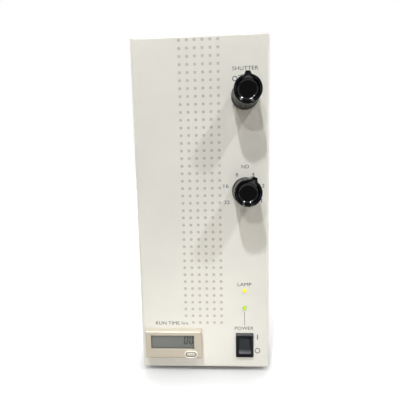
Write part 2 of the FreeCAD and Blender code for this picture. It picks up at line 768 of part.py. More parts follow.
def knob_solid():
    """Ribbed knob with a raised rim and a pointer at 12 o'clock, about the Y axis."""
    rim_y = stand(KNOB_REACH - KNOB_RIM_DROP)
    rim_middle = (rim_y, (KNOB_RIM_INNER_R + KNOB_R) / 2.0)
    rim_size = (-KNOB_RIM_DROP, (KNOB_R - KNOB_RIM_INNER_R) / 2.0)
    bore = SHAFT_R + SEAT_FIT
    side = [
        (stand(KNOB_NUT_ROOM), bore),
        (stand(KNOB_NUT_ROOM), KNOB_NUT_ROOM_R),
        (stand(KNOB_GAP), KNOB_NUT_ROOM_R),
        (stand(KNOB_GAP), KNOB_SKIRT_R),
        (stand(KNOB_SKIRT), KNOB_SKIRT_R),
        (stand(KNOB_SKIRT + KNOB_SKIRT_SLOPE), KNOB_R),
    ]
    rim = ellipse_steps(rim_middle, rim_size, 0.0, 180.0, KNOB_RIM_STEPS)
    seat = [(rim_y + CAP_THICK, KNOB_RIM_INNER_R), (rim_y + CAP_THICK, bore)]
    body = turned(side + rim + seat, (0.0, 0.0))
    flute_start = stand(KNOB_REACH - KNOB_RIM_DROP - FLUTE_END)
    reach = 2 * KNOB_R
    slope = FLUTE_HALF / FLUTE_DEPTH
    groove = [
        (KNOB_R - FLUTE_DEPTH, 0.0),
        (reach, (reach - KNOB_R + FLUTE_DEPTH) * slope),
        (reach, (KNOB_R - FLUTE_DEPTH - reach) * slope),
    ]
    cutter = prism(groove, flute_start, stand(KNOB_SKIRT + FLUTE_START))
    for i in range(KNOB_FLUTES):
        body = body.cut(about_y(cutter, (0.0, 0.0), 360.0 * (i + 0.5) / KNOB_FLUTES))
    return body.fuse(pointer_solid())


def pointer_solid():
    """Wedge that grows out of the rim: a plan outline crossed with a side outline."""
    front_y = stand(KNOB_REACH - POINTER_DROP)
    outline = [
        (-POINTER_LAND_HALF, POINTER_LAND_Z),
        (-POINTER_ROOT_HALF, KNOB_R),
        (-POINTER_TIP_HALF, POINTER_TIP_R),
        (POINTER_TIP_HALF, POINTER_TIP_R),
        (POINTER_ROOT_HALF, KNOB_R),
        (POINTER_LAND_HALF, POINTER_LAND_Z),
    ]
    plan = prism(outline, front_y, stand(KNOB_SKIRT))
    keel_y = front_y + POINTER_DEPTH + POINTER_KEEL
    side_points = [
        (front_y, 0.0),
        (front_y, POINTER_LAND_Z),
        (front_y + POINTER_SLOPE, POINTER_TIP_R),
        (front_y + POINTER_DEPTH, POINTER_TIP_R),
        (keel_y, KNOB_R - FLUTE_DEPTH),
        (keel_y, 0.0),
    ]
    corners = [V(-POINTER_TIP_R, y, z) for y, z in side_points]
    side = Part.Face(Part.makePolygon(corners + corners[:1])).extrude(V(2 * POINTER_TIP_R, 0, 0))
    wedge = plan.common(side)
    return wedge.cut(rod((0.0, 0.0), KNOB_RIM_INNER_R, front_y, stand(KNOB_SKIRT)))


def placed(body, centre, angle=0.0):
    """Copy of a body made about the Y axis, turned and moved to (x, z)."""
    moved = about_y(body, (0.0, 0.0), angle)
    moved.translate(V(centre[0], 0, centre[1]))
    return moved


def knob_cap(centre):
    """Dished cap pressed into a knob's rim."""
    radius = KNOB_RIM_INNER_R - SEAT_FIT
    face_y = stand(KNOB_REACH - KNOB_RIM_DROP)
    back_y = face_y + CAP_THICK
    dish_r = (radius ** 2 + CAP_DISH ** 2) / (2.0 * CAP_DISH)
    middle_y = face_y + CAP_DISH - dish_r + math.sqrt(dish_r ** 2 - (radius / 2.0) ** 2)
    outline = [
        line((0.0, back_y), (radius, back_y)),
        line((radius, back_y), (radius, face_y)),
        arc((radius, face_y), (radius / 2.0, middle_y), (0.0, face_y + CAP_DISH)),
        line((0.0, face_y + CAP_DISH), (0.0, back_y)),
    ]
    return turned_edges(outline, centre)


def control_shaft(centre, end_y, shoulder_y):
    """Turned shaft from inside a knob to the bulkhead, with a shoulder that holds it endways."""
    start = stand(KNOB_REACH - KNOB_RIM_DROP - CAP_THICK) + BODY_GAP
    shaft = rod(centre, SHAFT_R, start, end_y)
    return shaft.fuse(rod(centre, SHOULDER_R, shoulder_y, shoulder_y + SHOULDER))


def front_bushes():
    """Threaded bushes that carry the control shafts at the front panel."""
    bushes = []
    for centre in (SHUTTER_AXIS, ND_AXIS):
        profile = [
            (stand(BUSH_NOSE), SHAFT_R + RUN_FIT),
            (stand(BUSH_NOSE), BUSH_THREAD_R),
            (PANEL_BACK, BUSH_THREAD_R),
            (PANEL_BACK, BUSH_FLANGE_R),
            (PANEL_BACK + BUSH_FLANGE, BUSH_FLANGE_R),
            (PANEL_BACK + BUSH_FLANGE, BUSH_BODY_R),
            (BUSH_REAR, BUSH_BODY_R),
            (BUSH_REAR, SHAFT_R + RUN_FIT),
        ]
        bushes.append(turned(profile, centre))
    return group(bushes)


def bush_nuts():
    """Nuts that clamp the bushes to the front panel, hidden in the knobs."""
    nuts = []
    corner = NUT_FLATS / math.sqrt(3.0)
    for centre in (SHUTTER_AXIS, ND_AXIS):
        points = [polar(centre, corner, 60.0 * i) for i in range(6)]
        nut = prism(points, stand(NUT_THICK), FRONT)
        nuts.append(nut.cut(rod(centre, BUSH_THREAD_R + SEAT_FIT, stand(NUT_THICK), FRONT)))
    return group(nuts)


def rear_bushes():
    """Flanged bushes that carry the control shafts in the bulkhead."""
    bushes = []
    for centre in (SHUTTER_AXIS, ND_AXIS):
        profile = [
            (BULK_FRONT - REAR_BUSH_FLANGE, SHAFT_R + RUN_FIT),
            (BULK_FRONT - REAR_BUSH_FLANGE, BUSH_FLANGE_R),
            (BULK_FRONT, BUSH_FLANGE_R),
            (BULK_FRONT, REAR_BUSH_R),
            (BULK_REAR + REAR_BUSH_NOSE, REAR_BUSH_R),
            (BULK_REAR + REAR_BUSH_NOSE, SHAFT_R + RUN_FIT),
        ]
        bushes.append(turned(profile, centre))
    return group(bushes)


# ---------------------------------------------------------------- optics bulkhead and lamp
def bulkhead_tab_holes():
    """Screw holes that pin the bulkhead's tabs to the rails."""
    holes = []
    for x, z in rail_places():
        way = 1.0 if x > 0 else -1.0
        start = V(x - way * (RAIL / 2.0 + BULKHEAD), BULK_REAR + BULKHEAD_TAB / 2.0, z)
        holes.append(Part.makeCylinder(SCREW_R + SEAT_FIT, SCREW_LENGTH, start, V(way, 0, 0)))
    return holes


def bulkhead_corner(x, z):
    """Cut that clears one rail, and the tab that is screwed to that rail."""
    way = 1.0 if x > 0 else -1.0
    rise = 1.0 if z > (BOTTOM + TOP) / 2.0 else -1.0
    inner_x = x - way * RAIL / 2.0
    inner_z = z - rise * (RAIL / 2.0 + BULKHEAD_MARGIN)
    xs = sorted((inner_x, way * HALF))
    zs = sorted((inner_z, inner_z + rise * 2 * RAIL))
    clear = block((xs[0], BULK_FRONT - CUT_PAST, zs[0]), (xs[1], BULK_REAR + CUT_PAST, zs[1]))
    xs = sorted((inner_x, inner_x - way * BULKHEAD))
    low = (xs[0], BULK_FRONT, z - RAIL / 2.0)
    tab = block(low, (xs[1], BULK_REAR + BULKHEAD_TAB, z + RAIL / 2.0))
    return clear, tab


def optics_bulkhead():
    """Upright plate that carries the optics, with an air window below."""
    low = (-INNER_HALF + BULKHEAD_MARGIN, BULK_FRONT, BOTTOM + SHEET)
    body = block(low, (-low[0], BULK_REAR, TOP - SHEET - BULKHEAD_MARGIN))
    for x, z in rail_places():
        clear, tab = bulkhead_corner(x, z)
        body = body.cut(clear).fuse(tab)
    window_low = (-WINDOW_HALF, BULK_FRONT - CUT_PAST, BOTTOM + WINDOW_BOTTOM)
    window_high = (WINDOW_HALF, BULK_REAR + CUT_PAST, BOTTOM + WINDOW_TOP)
    body = body.cut(soft_block(window_low, window_high, CASE_CORNER, Y_AXIS))
    span = (BULK_FRONT - CUT_PAST, BULK_REAR + CUT_PAST)
    body = body.cut(rod(OPTICAL_AXIS, BEAM_R, *span))
    body = body.cut(rod(OPTICAL_AXIS, GLASS_R + SEAT_FIT, span[0], BULK_FRONT + GLASS_SEAT))
    holes = [(centre, REAR_BUSH_R) for centre in (SHUTTER_AXIS, ND_AXIS)]
    holes += [(IDLER_AXIS, IDLER_PIN_R), (WHEEL_AXIS, WHEEL_SPINDLE_R)]
    holes += [(centre, STOP_R) for centre in stop_places()]
    for centre, radius in holes:
        body = body.cut(rod(centre, radius + SEAT_FIT, *span))
    return body.cut(Part.makeCompound(bulkhead_tab_holes()))


def lamp_rods():
    """Rods that hold the lamp carrier off the bulkhead."""
    start = FRONT + CARRIER_Y + CARRIER_THICK
    return group([rod(place, ROD_R, start, BULK_FRONT) for place in lamp_rod_places()])


def lamp_carrier():
    """Plate on the rods that holds the reflector."""
    x, z = OPTICAL_AXIS
    start = FRONT + CARRIER_Y
    low = (x - CARRIER_HALF, start, z - CARRIER_HALF)
    high = (x + CARRIER_HALF, start + CARRIER_THICK, z + CARRIER_HALF)
    body = soft_block(low, high, CARRIER_CORNER, Y_AXIS)
    hole_r = REFLECTOR_R - REFLECTOR_WALL
    return body.cut(rod(OPTICAL_AXIS, hole_r, start - CUT_PAST, start + CARRIER_THICK + CUT_PAST))


def reflector_curve(mouth_r, mouth_y, neck_r):
    """Points (y, radius) on a quarter ellipse, from the mouth in to the neck."""
    depth = REFLECTOR_DEPTH * mouth_r / REFLECTOR_R
    last = math.degrees(math.acos(neck_r / mouth_r))
    return ellipse_steps((mouth_y, 0.0), (-depth, mouth_r), 0.0, last, REFLECTOR_STEPS)


def lamp_reflector():
    """Glass reflector of stepped cones on an ellipse, with a rim flange and a neck."""
    rim_y = FRONT + CARRIER_Y
    end_y = rim_y - REFLECTOR_DEPTH - NECK_LENGTH
    outer = reflector_curve(REFLECTOR_R, rim_y - REFLECTOR_FLANGE, NECK_R)
    inner = reflector_curve(REFLECTOR_R - REFLECTOR_WALL, rim_y, NECK_R - REFLECTOR_WALL)
    rim = [(rim_y, REFLECTOR_FLANGE_R), (rim_y - REFLECTOR_FLANGE, REFLECTOR_FLANGE_R)]
    neck = [(end_y, NECK_R), (end_y, NECK_R - REFLECTOR_WALL)]
    return turned(rim + outer + neck + inner[::-1], OPTICAL_AXIS)


def lamp_burner():
    """Quartz arc tube on its stem, seated in the socket's end wall."""
    end = FRONT + CARRIER_Y - REFLECTOR_DEPTH - NECK_LENGTH - SOCKET_LENGTH + 2 * SOCKET_GRIP
    last = math.degrees(math.acos(BURNER_STEM_R / BURNER_R))
    bulb = ellipse_steps((end + BURNER_BULB, 0.0), (BURNER_R, BURNER_R), -last, last, BURNER_STEPS)
    tip = end + BURNER_LENGTH
    stem = [(tip, BURNER_STEM_R), (tip, 0.0), (end, 0.0), (end, BURNER_STEM_R)]
    return turned(bulb + stem, OPTICAL_AXIS)


def lamp_socket():
    """Ceramic socket that grips the reflector neck."""
    seat = FRONT + CARRIER_Y - REFLECTOR_DEPTH - NECK_LENGTH
    start = seat + SOCKET_GRIP - SOCKET_LENGTH
    body = rod(OPTICAL_AXIS, SOCKET_R, start, seat + SOCKET_GRIP)
    body = body.cut(rod(OPTICAL_AXIS, NECK_R + SEAT_FIT, seat, seat + SOCKET_GRIP))
    return body.cut(rod(OPTICAL_AXIS, BURNER_STEM_R + SEAT_FIT, start + SOCKET_GRIP, seat))


def heat_filter():
    """Glass disc seated in the bulkhead, in the beam."""
    start = BULK_FRONT + GLASS_SEAT - GLASS_THICK
    return rod(OPTICAL_AXIS, GLASS_R, start, start + GLASS_THICK)


def heat_baffle():
    """Sheet shelf under the lamp, flanged down against the bulkhead."""
    end_x = OPTICAL_AXIS[0] + BAFFLE_RIGHT
    shelf_low = (BAFFLE_START_X, FRONT + BAFFLE_START_Y, BAFFLE_TOP - BAFFLE)
    flange_low = (BAFFLE_START_X, BULK_FRONT - BAFFLE, BAFFLE_TOP - BAFFLE_FLANGE)
    shelf = block(shelf_low, (end_x, BULK_FRONT, BAFFLE_TOP))
    return shelf.fuse(block(flange_low, (end_x, BULK_FRONT, BAFFLE_TOP)))


# ---------------------------------------------------------------- shutter
def blade_front():
    """Y of the shutter blade's front face."""
    return BULK_FRONT - REAR_BUSH_FLANGE - BODY_GAP - HUB_LENGTH - BLADE


def stop_places():
    """Centre (x, z) of the pins that stop the blade's arm when closed and when open."""
    reach = BLADE_ARM_HALF + STOP_R + BODY_GAP
    closed = polar(SHUTTER_AXIS, STOP_CIRCLE_R, ARM_ANGLE)
    opened = polar(SHUTTER_AXIS, STOP_CIRCLE_R, ARM_ANGLE + SHUTTER_THROW)
    return [
        polar(closed, reach, ARM_ANGLE - 90.0),
        polar(opened, reach, ARM_ANGLE + SHUTTER_THROW + 90.0),
    ]


def shutter_stop_pins():
    """Two pins that the shutter blade stops against."""
    return group([rod(place, STOP_R, blade_front() - BLADE, BULK_REAR) for place in stop_places()])


def shutter_hub():
    """Hub that fixes the blade to the shutter shaft."""
    start = blade_front() + BLADE
    return tube(SHUTTER_AXIS, HUB_R, SHAFT_R + SEAT_FIT, start, start + HUB_LENGTH)


def shutter_blade():
    """Flag on a straight arm, built along +X and turned onto the optical axis."""
    start = blade_front()
    centre = (0.0, 0.0)
    end = (ARM_LENGTH, 0.0)
    arm = block((0.0, start, -BLADE_ARM_HALF), (ARM_LENGTH, start + BLADE, BLADE_ARM_HALF))
    body = arm.fuse(rod(centre, HUB_R, start, start + BLADE))
    body = body.fuse(rod(end, BLADE_R, start, start + BLADE))
    body = body.cut(rod(centre, SHAFT_R + SEAT_FIT, start - CUT_PAST, start + BLADE + CUT_PAST))
    return placed(body.removeSplitter(), SHUTTER_AXIS, ARM_ANGLE)


# ---------------------------------------------------------------- neutral-density drive
def involute_flank(base_r, start_r, end_r, base_half, way):
    """Three points on one flank, from start_r out to end_r, about a tooth centred on +X."""
    points = []
    for radius in (start_r, (start_r + end_r) / 2.0, end_r):
        roll = math.sqrt(max((radius / base_r) ** 2 - 1.0, 0.0))
        angle = base_half - (roll - math.atan(roll))
        points.append((radius, way * math.degrees(angle)))
    return points


def gear_solid(teeth, centre, phase, start, thickness):
    """Spur gear with involute flanks; phase is the direction of one tooth's middle."""
    pitch_r = GEAR_MODULE * teeth / 2.0
    tip_r = pitch_r + GEAR_MODULE
    root_r = pitch_r - DEDENDUM * GEAR_MODULE
    pressure = math.radians(PRESSURE_ANGLE)
    base_r = pitch_r * math.cos(pressure)
    tooth_half = math.pi / (2.0 * teeth) - GEAR_BACKLASH / (4.0 * pitch_r)
    base_half = tooth_half + math.tan(pressure) - pressure
    flank_start = max(base_r, root_r)
    down = involute_flank(base_r, flank_start, tip_r, base_half, -1.0)
    up = involute_flank(base_r, flank_start, tip_r, base_half, 1.0)
    pitch = 360.0 / teeth
    edges = []

    def spot(radius, angle):
        x, z = polar(centre, radius, angle)
        return V(x, start, z)

    for i in range(teeth):
        middle = phase + pitch * i
        first = [spot(r, middle + a) for r, a in down]
        last = [spot(r, middle + a) for r, a in reversed(up)]
        root_in = spot(root_r, middle + down[0][1])
        root_out = spot(root_r, middle + up[0][1])
        next_root = spot(root_r, middle + pitch + down[0][1])
        valley = spot(root_r, middle + pitch / 2.0)
        for points in (first, last):
            edges.append(Part.Arc(*points).toShape())
        edges.append(Part.LineSegment(root_in, first[0]).toShape())
        edges.append(Part.Arc(first[-1], spot(tip_r, middle), last[0]).toShape())
        edges.append(Part.LineSegment(last[-1], root_out).toShape())
        edges.append(Part.Arc(root_out, valley, next_root).toShape())
    wire = Part.Wire(Part.__sortEdges__(edges))
    return Part.Face(wire).extrude(V(0, thickness, 0))


def nd_drive_gear():
    """Gear and its hub on the selector shaft."""
    end = GEAR_Y + GEAR_THICK + DRIVE_HUB
    body = gear_solid(DRIVE_TEETH, ND_AXIS, TRAIN_ANGLE, GEAR_Y, GEAR_THICK)
    body = body.fuse(rod(ND_AXIS, DRIVE_HUB_R, GEAR_Y + GEAR_THICK, end))
    return body.cut(rod(ND_AXIS, SHAFT_R + SEAT_FIT, GEAR_Y - CUT_PAST, end + CUT_PAST))


def meshed_phase(teeth, behind_phase, behind_teeth):
    """Tooth direction of a gear whose gap meets the tooth of the gear before it."""
    behind_pitch = 360.0 / behind_teeth
    offset = ((TRAIN_ANGLE - behind_phase) / behind_pitch) % 1.0
    return TRAIN_ANGLE + 180.0 + (0.5 - offset) * -360.0 / teeth


def idler_phase():
    """Angle of one tooth of the idler that meshes with the drive gear."""
    return meshed_phase(IDLER_TEETH, TRAIN_ANGLE, DRIVE_TEETH)


def nd_idler_gear():
    """Idler gear on its fixed pin."""
    body = gear_solid(IDLER_TEETH, IDLER_AXIS, idler_phase(), GEAR_Y, GEAR_THICK)
    return body.cut(rod(IDLER_AXIS, IDLER_PIN_R + RUN_FIT, GEAR_Y - CUT_PAST, GEAR_Y + GEAR_THICK + CUT_PAST))


def nd_wheel_gear():
    """Gear that turns the filter wheel."""
    phase = meshed_phase(WHEEL_TEETH, idler_phase(), IDLER_TEETH)
    body = gear_solid(WHEEL_TEETH, WHEEL_AXIS, phase, GEAR_Y, GEAR_THICK)
    span = (GEAR_Y - CUT_PAST, GEAR_Y + GEAR_THICK + CUT_PAST)
    return body.cut(rod(WHEEL_AXIS, WHEEL_SPINDLE_R + RUN_FIT, *span))


def filter_angles():
    """Direction of each wheel place from the wheel's centre; the open one comes last."""
    step = 360.0 / FILTER_PLACES
    order = [i for i in range(FILTER_PLACES) if i != OPEN_PLACE] + [OPEN_PLACE]
    return [AXIS_ANGLE + step * i for i in order]


def nd_wheel():
    """Wheel with six places for filters and a detent notch between each two."""
    body = rod(WHEEL_AXIS, WHEEL_R, WHEEL_Y, WHEEL_Y + WHEEL_THICK)
    body = body.fuse(rod(WHEEL_AXIS, WHEEL_HUB_R, WHEEL_Y - WHEEL_GAP, WHEEL_Y))
    span = (WHEEL_Y - WHEEL_GAP - CUT_PAST, WHEEL_Y + WHEEL_THICK + CUT_PAST)
    body = body.cut(rod(WHEEL_AXIS, WHEEL_SPINDLE_R + RUN_FIT, *span))
    seat_y = WHEEL_Y + WHEEL_THICK - FILTER_SEAT
    for angle in filter_angles():
        place = polar(WHEEL_AXIS, FILTER_CIRCLE_R, angle)
        body = body.cut(rod(place, FILTER_R - FILTER_LEDGE, *span))
        body = body.cut(rod(place, FILTER_R + SEAT_FIT, seat_y, span[1]))
        notch = polar(WHEEL_AXIS, WHEEL_R + NOTCH_R / 2.0, angle + 180.0 / FILTER_PLACES)
        body = body.cut(rod(notch, NOTCH_R, *span))
    return body


def nd_filters():
    """Five filters; one place of the wheel is left open."""
    seat_y = WHEEL_Y + WHEEL_THICK - FILTER_SEAT
    places = [polar(WHEEL_AXIS, FILTER_CIRCLE_R, angle) for angle in filter_angles()[:-1]]
    return group([rod(place, FILTER_R, seat_y, seat_y + FILTER_THICK) for place in places])


def gear_spindles():
    """Shouldered pins of the idler and the wheel, fixed in the bulkhead."""
    idler_end = GEAR_Y + GEAR_THICK + BODY_GAP
    idler = rod(IDLER_AXIS, IDLER_PIN_R, BULK_FRONT, idler_end)
    idler = idler.fuse(rod(IDLER_AXIS, IDLER_PIN_R + PIN_HEAD_EXTRA_R, idler_end, idler_end + PIN_HEAD))
    wheel_end = WHEEL_Y + WHEEL_THICK + BODY_GAP
    wheel = rod(WHEEL_AXIS, WHEEL_SPINDLE_R, BULK_FRONT, wheel_end)
    wheel = wheel.fuse(rod(WHEEL_AXIS, WHEEL_SPINDLE_R + PIN_HEAD_EXTRA_R, wheel_end, wheel_end + PIN_HEAD))
    collar_end = GEAR_Y - BODY_GAP
    wheel = wheel.fuse(rod(WHEEL_AXIS, WHEEL_SPINDLE_R + PIN_HEAD_EXTRA_R, BULK_REAR, collar_end))
    idler = idler.fuse(rod(IDLER_AXIS, IDLER_PIN_R + PIN_HEAD_EXTRA_R, BULK_REAR, collar_end))
    return group([idler, wheel])


# ---------------------------------------------------------------- light-guide port
def guide_port_collar():
    """Collar that receives the light guide, with its flange and cross bore."""
    start = REAR_INNER - PORT_INSERT
    bore = GUIDE_R + GUIDE_FIT
    end = REAR + PORT_REACH
    profile = [
        (start, bore),
        (start, PORT_INSERT_R),
        (REAR, PORT_INSERT_R),
        (REAR, PORT_FLANGE_R),
        (REAR + PORT_FLANGE, PORT_FLANGE_R),
        (REAR + PORT_FLANGE, PORT_R),
        (end - PORT_MOUTH_CHAMFER, PORT_R),
        (end, PORT_R - PORT_MOUTH_CHAMFER),
        (end, bore + PORT_MOUTH_CHAMFER),
        (end - PORT_MOUTH_CHAMFER, bore),
    ]
    body = turned(profile, OPTICAL_AXIS)
    for centre in port_screw_places():
        body = body.cut(rod(centre, SCREW_R + HOLE_FIT, REAR - CUT_PAST, REAR + PORT_FLANGE + CUT_PAST))
        body = body.cut(rod(centre, PAN_HEAD_R + HOLE_FIT, REAR + PORT_FLANGE, end + CUT_PAST))
    return body.cut(clamp_hole())


def clamp_centre_y():
    """Y of the clamp screw's axis."""
    return REAR + (PORT_FLANGE + PORT_REACH) / 2.0


def clamp_hole():
    """Cross bore for the clamp screw."""
    x, z = OPTICAL_AXIS
    return Part.makeCylinder(CLAMP_SCREW_R + RUN_FIT, PORT_R + CUT_PAST, V(x, clamp_centre_y(), z), Z_AXIS)


def guide_clamp_screw():
    """Knurled thumb screw that clamps the light guide from above."""
    x, z = OPTICAL_AXIS
    y = clamp_centre_y()
    tip = z + GUIDE_R + 2 * BODY_GAP
    head = z + PORT_R + CLAMP_NECK
    body = Part.makeCylinder(CLAMP_SCREW_R, head - tip, V(x, y, tip), Z_AXIS)
    knurl = Part.makeCylinder(CLAMP_HEAD_R, CLAMP_HEAD, V(x, y, head), Z_AXIS)
    flutes = []
    for i in range(CLAMP_FLUTES):
        turn = 2.0 * math.pi * i / CLAMP_FLUTES
        spot = V(x + CLAMP_HEAD_R * math.cos(turn), y + CLAMP_HEAD_R * math.sin(turn), head)
        flutes.append(Part.makeCylinder(CLAMP_FLUTE_R, CLAMP_HEAD, spot, Z_AXIS))
    return body.fuse(knurl.cut(Part.makeCompound(flutes)))


# ---------------------------------------------------------------- fan
def fan_housing():
    """Square fan frame with a round duct, four struts and the motor seat."""
    half = FAN_SIZE / 2.0
    x, z = FAN_AXIS
    start = REAR_INNER - FAN_THICK
    body = soft_block((x - half, start, z - half), (x + half, REAR_INNER, z + half), FAN_CORNER, Y_AXIS)
    body = body.cut(rod(FAN_AXIS, FAN_DUCT_R, start - CUT_PAST, REAR_INNER + CUT_PAST))
    motor = rod(FAN_AXIS, FAN_MOTOR_R, start, start + FAN_STRUT)
    body = body.fuse(motor)
    for i in range(4):
        half_strut = FAN_STRUT / 2.0
        arm = block((-half_strut, start, 0.0), (half_strut, start + FAN_STRUT, FAN_DUCT_R + CUT_PAST))
        body = body.fuse(placed(arm, FAN_AXIS, 45.0 + 90.0 * i))
    body = body.fuse(rod(FAN_AXIS, FAN_BEARING_R, start, start + FAN_BEARING))
    for centre in fan_hole_places():
        body = body.cut(rod(centre, SCREW_R + HOLE_FIT, start - CUT_PAST, REAR_INNER + CUT_PAST))
    return body


def fan_rotor():
    """Hub cup with pitched blades, clear of the duct and the motor plate."""
    start = REAR_INNER - FAN_THICK + FAN_STRUT + BODY_GAP
    end = start + FAN_ROTOR_HEIGHT
    tip_r = FAN_DUCT_R - FAN_TIP_GAP
    half_span = FAN_ROTOR_HEIGHT / math.sin(math.radians(FAN_BLADE_PITCH)) / 2.0
    half_thick = FAN_BLADE_THICK / 2.0
    blades = []
    for i in range(FAN_BLADES):
        blade = block((-half_thick, -half_span, 0.0), (half_thick, half_span, FAN_DUCT_R + tip_r))
        blade.rotate(V(0, 0, 0), Z_AXIS, 90.0 - FAN_BLADE_PITCH)
        blade.translate(V(0, (start + end) / 2.0, 0))
        blades.append(placed(blade, FAN_AXIS, 360.0 * i / FAN_BLADES))
    ring_span = (start + FAN_BLADE_INSET, end - FAN_BLADE_INSET)
    ring = tube(FAN_AXIS, tip_r, FAN_HUB_R - FAN_BLADE_THICK, *ring_span)
    body = rod(FAN_AXIS, FAN_HUB_R, start, end)
    for blade in blades:
        body = body.fuse(blade.common(ring))
    bore_end = REAR_INNER - FAN_THICK + FAN_BEARING + BODY_GAP
    return body.cut(rod(FAN_AXIS, FAN_BEARING_R + RUN_FIT, start - CUT_PAST, bore_end))


def fan_guard():
    """Wire guard of square-section rings on two crossed spokes, screwed on at its four ears."""
    top_y = REAR + GUARD_STAND
    ring_y = top_y - GUARD_WIRE
    half = GUARD_WIRE / 2.0
    pieces = []
    step = (GUARD_RING_LAST - GUARD_RING_FIRST) / (GUARD_RINGS - 1)
    for i in range(GUARD_RINGS):
        radius = GUARD_RING_FIRST + step * i
        pieces.append(tube(FAN_AXIS, radius + half, radius - half, ring_y, top_y))
    reach = FAN_HOLE_SPACING / math.sqrt(2.0)
    for i in range(4):
        spoke_end = reach - GUARD_EAR_R + GUARD_WIRE
        spoke = block((-half, ring_y, GUARD_RING_FIRST - half), (half, top_y, spoke_end))
        ear = rod((0.0, reach), GUARD_EAR_R, REAR, top_y)
        arm = spoke.fuse(ear).cut(rod((0.0, reach), SCREW_R + HOLE_FIT, REAR, top_y))
        pieces.append(placed(arm, FAN_AXIS, 45.0 + 90.0 * i))
    body = pieces[0]
    for piece in pieces[1:]:
        body = body.fuse(piece)
    return body


def fan_screws():
    """Long screws through the guard, rear panel and fan frame."""
    seat = REAR + GUARD_STAND
    screws = [pan_screw(V(x, seat, z), V(0, -1, 0), FAN_SCREW_LENGTH) for x, z in fan_hole_places()]
    return group(screws)


# ---------------------------------------------------------------- mains inlet
def recess_outline():
    """Six-sided inlet recess with its two upper corners cut, in (x, z)."""
    half = INLET_RECESS_W / 2.0
    low = INLET[1] + INLET_RECESS_RISE - INLET_RECESS_H / 2.0
    high = low + INLET_RECESS_H
    cut = INLET_RECESS_CUT
    x = INLET[0]
    return [
        (x - half, low),
        (x + half, low),
        (x + half, high - cut),
        (x + half - cut, high),
        (x - half + cut, high),
        (x - half, high - cut),
    ]


def power_inlet():
    """Mains inlet with its recess and fuse bay."""
    x, z = INLET
    half_w = INLET_FLANGE_W / 2.0
    half_h = INLET_FLANGE_H / 2.0
    end = REAR + INLET_FLANGE
    flange = soft_block((x - half_w, REAR, z - half_h), (x + half_w, end, z + half_h), CASE_CORNER, Y_AXIS)
    low = (x - INLET_BODY_W / 2.0, end - INLET_BODY, z - INLET_BODY_H / 2.0)
    body = flange.fuse(block(low, (x + INLET_BODY_W / 2.0, end, z + INLET_BODY_H / 2.0)))
    body = body.cut(prism(recess_outline(), end - INLET_RECESS_DEPTH, end + CUT_PAST))
    body = body.cut(fuse_box(FUSE_FIT, end - FUSE_DEPTH - FUSE_FIT, end + CUT_PAST))
    for centre in inlet_screw_places():
        body = body.cut(rod(centre, SCREW_R + HOLE_FIT, REAR - CUT_PAST, end + CUT_PAST))
    return body


def fuse_box(grow, start, end):
    """Fuse drawer's block, or its pocket when grown by a clearance."""
    x = INLET[0]
    z = INLET[1] - FUSE_DROP
    half_w = FUSE_W / 2.0 + grow
    half_h = FUSE_H / 2.0 + grow
    return block((x - half_w, start, z - half_h), (x + half_w, end, z + half_h))


def fuse_drawer():
    """Fuse drawer that slides out to the rear."""
    end = REAR + INLET_FLANGE
    body = fuse_box(0.0, end - FUSE_DEPTH, end + FUSE_FACE)
    inside = fuse_box(-FUSE_WALL, end - FUSE_DEPTH + FUSE_WALL, end - FUSE_WALL)
    body = body.cut(inside.fuse(inside.translated(V(0, 0, FUSE_H / 2.0))))
    grip_start = V(INLET[0] - FUSE_GRIP / 2.0, end + FUSE_FACE, INLET[1] - FUSE_DROP)
    return body.cut(Part.makeCylinder(FUSE_GRIP_R, FUSE_GRIP, grip_start, X_AXIS))


def inlet_pins():
    """Three flat contacts in the inlet."""
    root = REAR + INLET_FLANGE - INLET_RECESS_DEPTH
    middle = INLET[1] + INLET_RECESS_RISE
    places = [(-PIN_PITCH, -PIN_RISE), (0.0, PIN_RISE), (PIN_PITCH, -PIN_RISE)]
    pins = []
    for dx, dz in places:
        low = (INLET[0] + dx - PIN_WIDE / 2.0, root, middle + dz - PIN_HIGH / 2.0)
        high = (low[0] + PIN_WIDE, root + PIN_REACH, low[2] + PIN_HIGH)
        pins.append(block(low, high))
    return group(pins)


# ---------------------------------------------------------------- rocker switch
def bevelled_frame(centre, width, height, proud, bevel):
    """Rectangular frame on the front panel whose outer front edges are bevelled."""
    half_w = width / 2.0
    half_h = height / 2.0
    low = (centre[0] - half_w, stand(proud), centre[1] - half_h)
    body = block(low, (centre[0] + half_w, FRONT, centre[1] + half_h))
    edges = [e for e in body.Edges if abs(e.BoundBox.YMax - stand(proud)) < 0.001]
    return body.makeChamfer(bevel, edges)


def power_switch_housing():
    """Switch body with a well for the rocker."""
    body = bevelled_frame(SWITCH, SWITCH_W, SWITCH_H, SWITCH_PROUD, SWITCH_BEVEL)
    x, z = SWITCH
    low = (x - SWITCH_BODY_W / 2.0, FRONT, z - SWITCH_BODY_H / 2.0)
    body = body.fuse(block(low, (x + SWITCH_BODY_W / 2.0, FRONT + SWITCH_BODY, z + SWITCH_BODY_H / 2.0)))
    well_low = (x - SWITCH_WELL_W / 2.0, stand(SWITCH_PROUD) - CUT_PAST, z - SWITCH_WELL_H / 2.0)
    well = block(well_low, (x + SWITCH_WELL_W / 2.0, FRONT + SWITCH_WELL, z + SWITCH_WELL_H / 2.0))
    body = body.cut(well)
    return body.cut(rocker_pin(RUN_FIT))


def rocker_axis():
    """Centre (y, z) of the rocker's pivot."""
    return (FRONT + ROCKER_AXIS_Y, SWITCH[1])


def rocker_pin(grow):
    """Pivot pins across the rocker, or their holes when grown by a clearance."""
    reach = SWITCH_WELL_W / 2.0 + ROCKER_PIN_GRIP + 4 * grow
    y, z = rocker_axis()
    return Part.makeCylinder(ROCKER_PIN_R + grow, 2 * reach, V(SWITCH[0] - reach, y, z), X_AXIS)


